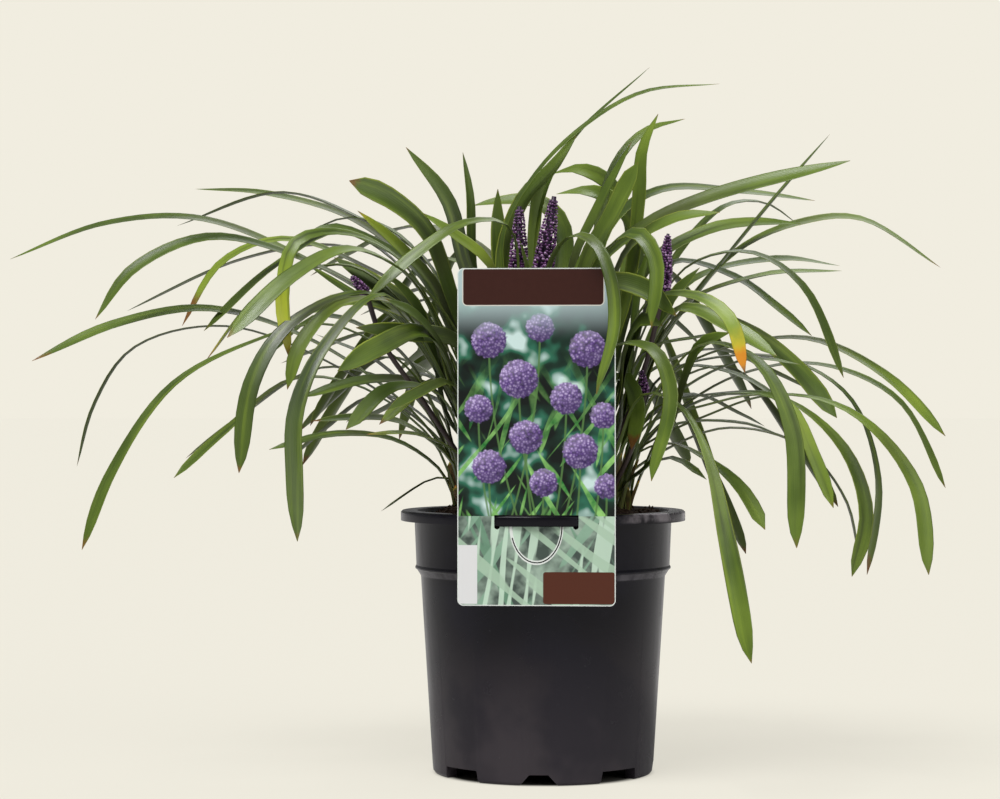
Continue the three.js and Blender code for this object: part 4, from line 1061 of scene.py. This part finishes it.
def makeFlowers():
    stemInputs = {"radius": flower["stemRadius"] * mm, "material": stemSkin()}
    stalkTree = stemTree(stemInputs)
    floretLook = floretSkin()
    budTree = None
    for number, (foot, depth, radius, whorls, top, *board) in enumerate(spikes, 1):
        ground = np.array([*foot, crown["bottom"]], float)
        *stem, tip = route(ground, [*board, top], depth)
        head = stem[-1]
        upright = [ground + (0, 0, flower["stemUpright"] * share) for share in (0, 0.5, 1)]
        path = smoothPath([*upright, *stem], flower["stemStep"]) * mm
        stalk = meshObject(f"flowerStem{number}", path, [(i, i + 1) for i in range(len(path) - 1)], [])
        addModifierTree(stalk, stalkTree, stemInputs)
        settle(stalk)
        faceOutwards(stalk.data)
        keep(stalk, f"flower_stem_{number}")

        axis = Vector(tip - head)
        size = flower["budSize"] * mm * min(1.0, flower["smallest"] + radius / flower["fullFrom"])
        inputs = {"length": axis.length * mm, "radius": radius * mm, "whorls": whorls, "seed": number,
                  "perWhorl": flower["budsPerWhorl"], "budSize": size, "material": floretLook}
        budTree = budTree or spikeTree(inputs)
        bloom = meshObject(f"flowerSpike{number}", [(0, 0, 0)], [], [])
        addModifierTree(bloom, budTree, inputs)
        settle(bloom)
        faceOutwards(bloom.data)
        stand = Vector((0, 0, 1)).rotation_difference(axis).to_matrix().to_4x4()
        bloom.data.transform(Matrix.Translation(Vector(head) * mm) @ stand)
        keep(bloom, f"flower_head_{number}")


makeFlowers()
print("flowers are made")


# plant card

card = {
    "width": 90, "height": 192, "bottom": 104.7, "thickness": 0.8, "distance": 81.7, "turn": -3.5,
    "corner": 3.4, "slotHalfWidth": 24, "slotBottom": 149.7, "slotTop": 156.3, "slotLobe": 1.6,
    "tongueHalfWidth": 14.5, "tongueDepth": 20.5, "tongueTurn": 162, "cut": 0.7,
}

# what the print shows, in millimetres from the middle of the card's lower edge; a box is its
# middle and its half sizes, and a blossom its middle and radius
cardPrint = {
    "band": (-1.8, 181.5, 39.9, 10.5), "bandCorner": 2.3, "bandLine": 0.5, "panel": (-39.3, 17.8, 5.6, 16.7),
    "box": (24.2, 10.2, 20.4, 9.1), "paleFrom": 51, "bareEdge": 0.55,
    "blossoms": [(-27, 151, 10), (2, 158, 8), (29, 146, 10.5), (-10, 129, 11), (17, 118, 9), (-33, 112, 8),
                 (38, 108, 7.5), (-6, 96, 9.5), (25, 88, 10), (-27, 79, 9.5), (4, 70, 8), (40, 68, 7)],
    "blades": [(38, 1.0), (-31, 0.92), (14, 0.8)],
    "paleBlades": [(-24, (0.13, 0.30, 0.18)), (33, (0.24, 0.43, 0.29)), (8, (0.60, 0.80, 0.62)),
                   (-52, (0.42, 0.60, 0.43))],
}


# 1 inside a box with rounded corners
def roundedBox(x, z, box, corner, soft=0.15):
    middleX, middleZ, halfX, halfZ = box
    beyond = [calc("MAXIMUM", abs(value - middle) - (half - corner), 0.0)
              for value, middle, half in ((x, middleX, halfX), (z, middleZ, halfZ))]
    return mapped(vec("LENGTH", combined(*beyond, 0.0)), corner - soft, corner + soft, 1.0, 0.0)


def cells(place, output="Distance"):
    return add(place.tree, "ShaderNodeTexVoronoi", {"Vector": place, "Scale": 0.62}, output)


# 1 on blades that lean by the tilt, in degrees
def printedBlades(place, tilt, low=0.60, high=0.635):
    turned = add(place.tree, "ShaderNodeVectorRotate", {"Vector": place, "Angle": math.radians(tilt)},
                 rotation_type="Z_AXIS")
    return mapped(noise(turned * (0.16, 0.014, 1.0), 1.0 + 0.13 * tilt / 38, 1.0), low, high)


# blurred garden behind round lilac blossoms on thin stems, with blades between them
def printedPicture(x, z):
    place = combined(x, z, 0.0)
    picture = ramp(noise(place, 0.045, 2.0), (0.42, (0.003, 0.006, 0.004)), (0.51, (0.008, 0.034, 0.020)),
                   (0.575, (0.030, 0.17, 0.10)), (0.66, (0.66, 0.84, 0.80)))
    low = mapped(z, 150.0, 70.0)
    green = ramp(noise(place, 0.09), (0.35, (0.02, 0.21, 0.035)), (0.65, (0.36, 0.72, 0.20)))
    for tilt, strength in cardPrint["blades"]:
        picture = blend(printedBlades(place, tilt) * low * strength, picture, green)
    lilac = ramp(cells(place), (0.0, (0.95, 0.90, 0.98)), (0.2, (0.56, 0.43, 0.76)),
                 (0.5, (0.15, 0.06, 0.33)), (0.85, (0.018, 0.008, 0.05)))
    lilac = blend(vec("DOT_PRODUCT", cells(place, "Color"), (0.4, 0.3, 0.1)) * 0.4, lilac, (0.60, 0.50, 0.74))
    ragged = (noise(place, 0.5, 2.0) - 0.5) * 3.0
    for middleX, middleZ, radius in cardPrint["blossoms"]:
        aside, below = x - middleX, middleZ - z
        bend = below * below * (0.0016 if middleX < 0 else -0.0014)
        stem = mapped(abs(aside - bend), 0.35, 0.8, 1.0, 0.0) * (below > 0.0)
        picture = blend(stem * 0.8, picture, (0.10, 0.22, 0.06))
        away = vec("DISTANCE", place, (middleX, middleZ, 0.0)) + ragged
        shadow = mapped(below + aside * 0.5, -0.9 * radius, 0.9 * radius)
        shaded = layered(lilac, (shadow * 0.65, (0.025, 0.008, 0.07)),
                         (mapped(shadow, 0.35, 0.0, 0.0, 0.12), (0.85, 0.78, 0.92)))
        picture = blend(mapped(away, radius - 0.5, radius + 0.5, 1.0, 0.0), picture, shaded)
    return picture


# faded grass under the picture
def printedFoot(x, z):
    place = combined(x, z, 7.0)
    picture = ramp(noise(place, 0.07), (0.44, (0.022, 0.048, 0.034)), (0.66, (0.34, 0.46, 0.36)))
    for tilt, color in cardPrint["paleBlades"]:
        picture = blend(printedBlades(place, tilt, 0.57, 0.61) * 0.85, picture, color)
    return blend(0.05, picture, (0.80, 0.82, 0.78))


def printedCard():
    material, tree, surface = newMaterial("printedCard", 0.28, 0.4)
    x, z, front = attributes(tree, "cardX", "cardZ", "front")
    middleX, middleZ, halfX, halfZ = cardPrint["band"]
    line, corner = cardPrint["bandLine"], cardPrint["bandCorner"]
    border = roundedBox(x, z, (middleX, middleZ, halfX + line, halfZ + line), corner + line)
    brown = blend(noise(combined(x, z, 0.0), 0.3), (0.040, 0.009, 0.005), (0.050, 0.013, 0.008))
    # bare stock shows at the outer edge and along the tongue's cut
    half, tall, edge = card["width"] / 2, card["height"] / 2, cardPrint["bareEdge"]
    inside = roundedBox(x, z, (0.0, tall, half - edge, tall - edge), card["corner"] - edge)
    slotHeight = card["slotBottom"] - card["bottom"]
    onTongue = combined(x / card["tongueHalfWidth"], (z - slotHeight) / card["tongueDepth"], 0.0)
    alongCut = mapped(abs(vec("LENGTH", onTongue) - 1.0), 0.05, 0.07, 1.0, 0.0) * (z < slotHeight)
    picture = layered(
        printedPicture(x, z), (z < cardPrint["paleFrom"], printedFoot(x, z)),
        (mapped(z, 150.0, 180.0, 0.0, 0.8), (0.60, 0.76, 0.76)),
        (border, (0.80, 0.76, 0.66)), (roundedBox(x, z, cardPrint["band"], corner), brown),
        (roundedBox(x, z, cardPrint["panel"], 0.3), (0.80, 0.80, 0.79)),
        (roundedBox(x, z, cardPrint["box"], 1.5), (0.090, 0.021, 0.008)),
        (calc("MAXIMUM", alongCut, 1.0 - inside), (0.80, 0.84, 0.79)))
    back = blend(noise(combined(x, z, 1.0), 0.04), (0.66, 0.70, 0.60), (0.74, 0.76, 0.68))
    put(surface["Base Color"], blend(front, back, picture))
    return material


# points on an arc, its start and turn in degrees
def arc(x, z, radii, start, turn, steps=8):
    angles = [math.radians(start + turn * k / steps) for k in range(steps + 1)]
    return [(x + radii[0] * math.cos(a), z + radii[1] * math.sin(a)) for a in angles]


def cardOutline():
    r = card["corner"]
    side, low, high = card["width"] / 2 - r, card["bottom"] + r, card["bottom"] + card["height"] - r
    corners = ((side, low, -90), (side, high, 0), (-side, high, 90), (-side, low, 180))
    return [point for x, z, start in corners for point in arc(x, z, (r, r), start, 90)]


# a slot with a round cut under each end, and the curved cut that frees the tongue
def slotOutline():
    half, low, lobe = card["slotHalfWidth"], card["slotBottom"], card["slotLobe"]
    inner, outer = (arc(0, low, (card["tongueHalfWidth"] + offset, card["tongueDepth"] + offset),
                        0, -card["tongueTurn"], 24) for offset in (-card["cut"] / 2, card["cut"] / 2))
    leftLobe, rightLobe = (arc(x, low, (lobe, lobe), 180, 180) for x in (lobe - half, half - lobe))
    return [(-half, card["slotTop"]), *leftLobe, *inner, *outer[::-1], *rightLobe, (half, card["slotTop"])]


def makeCard():
    curve = bpy.data.curves.new("plantCard", "CURVE")
    curve.dimensions = "2D"
    curve.fill_mode = "BOTH"
    curve.extrude = card["thickness"] / 2 * mm
    for points in (cardOutline(), slotOutline()):
        spline = curve.splines.new("POLY")
        spline.points.add(len(points) - 1)
        for target, (x, z) in zip(spline.points, points):
            target.co = (x * mm, z * mm, 0, 1)
        spline.use_cyclic_u = True
    outline = newObject("plantCardCurve", curve)
    bpy.context.view_layer.update()
    mesh = evaluatedMesh(outline)
    bpy.data.objects.remove(outline)
    corners = np.array([vertex.co for vertex in mesh.vertices]) / mm
    storeOnPoints(mesh, "cardX", corners[:, 0])
    storeOnPoints(mesh, "cardZ", corners[:, 1] - card["bottom"])
    storeOnPoints(mesh, "front", corners[:, 2] > 0)
    mesh.transform(Matrix.Rotation(math.pi / 2, 4, "X"))
    mesh.transform(Matrix.Translation((0, -(card["distance"] + card["thickness"] / 2) * mm, 0)))
    mesh.transform(Matrix.Rotation(math.radians(card["turn"]), 4, "Z"))
    faceOutwards(mesh, mergeWithin=1e-6)
    mesh.materials.clear()
    mesh.materials.append(printedCard())
    keep(newObject("plantCard", mesh), "plant_card")


makeCard()
print("card is made")
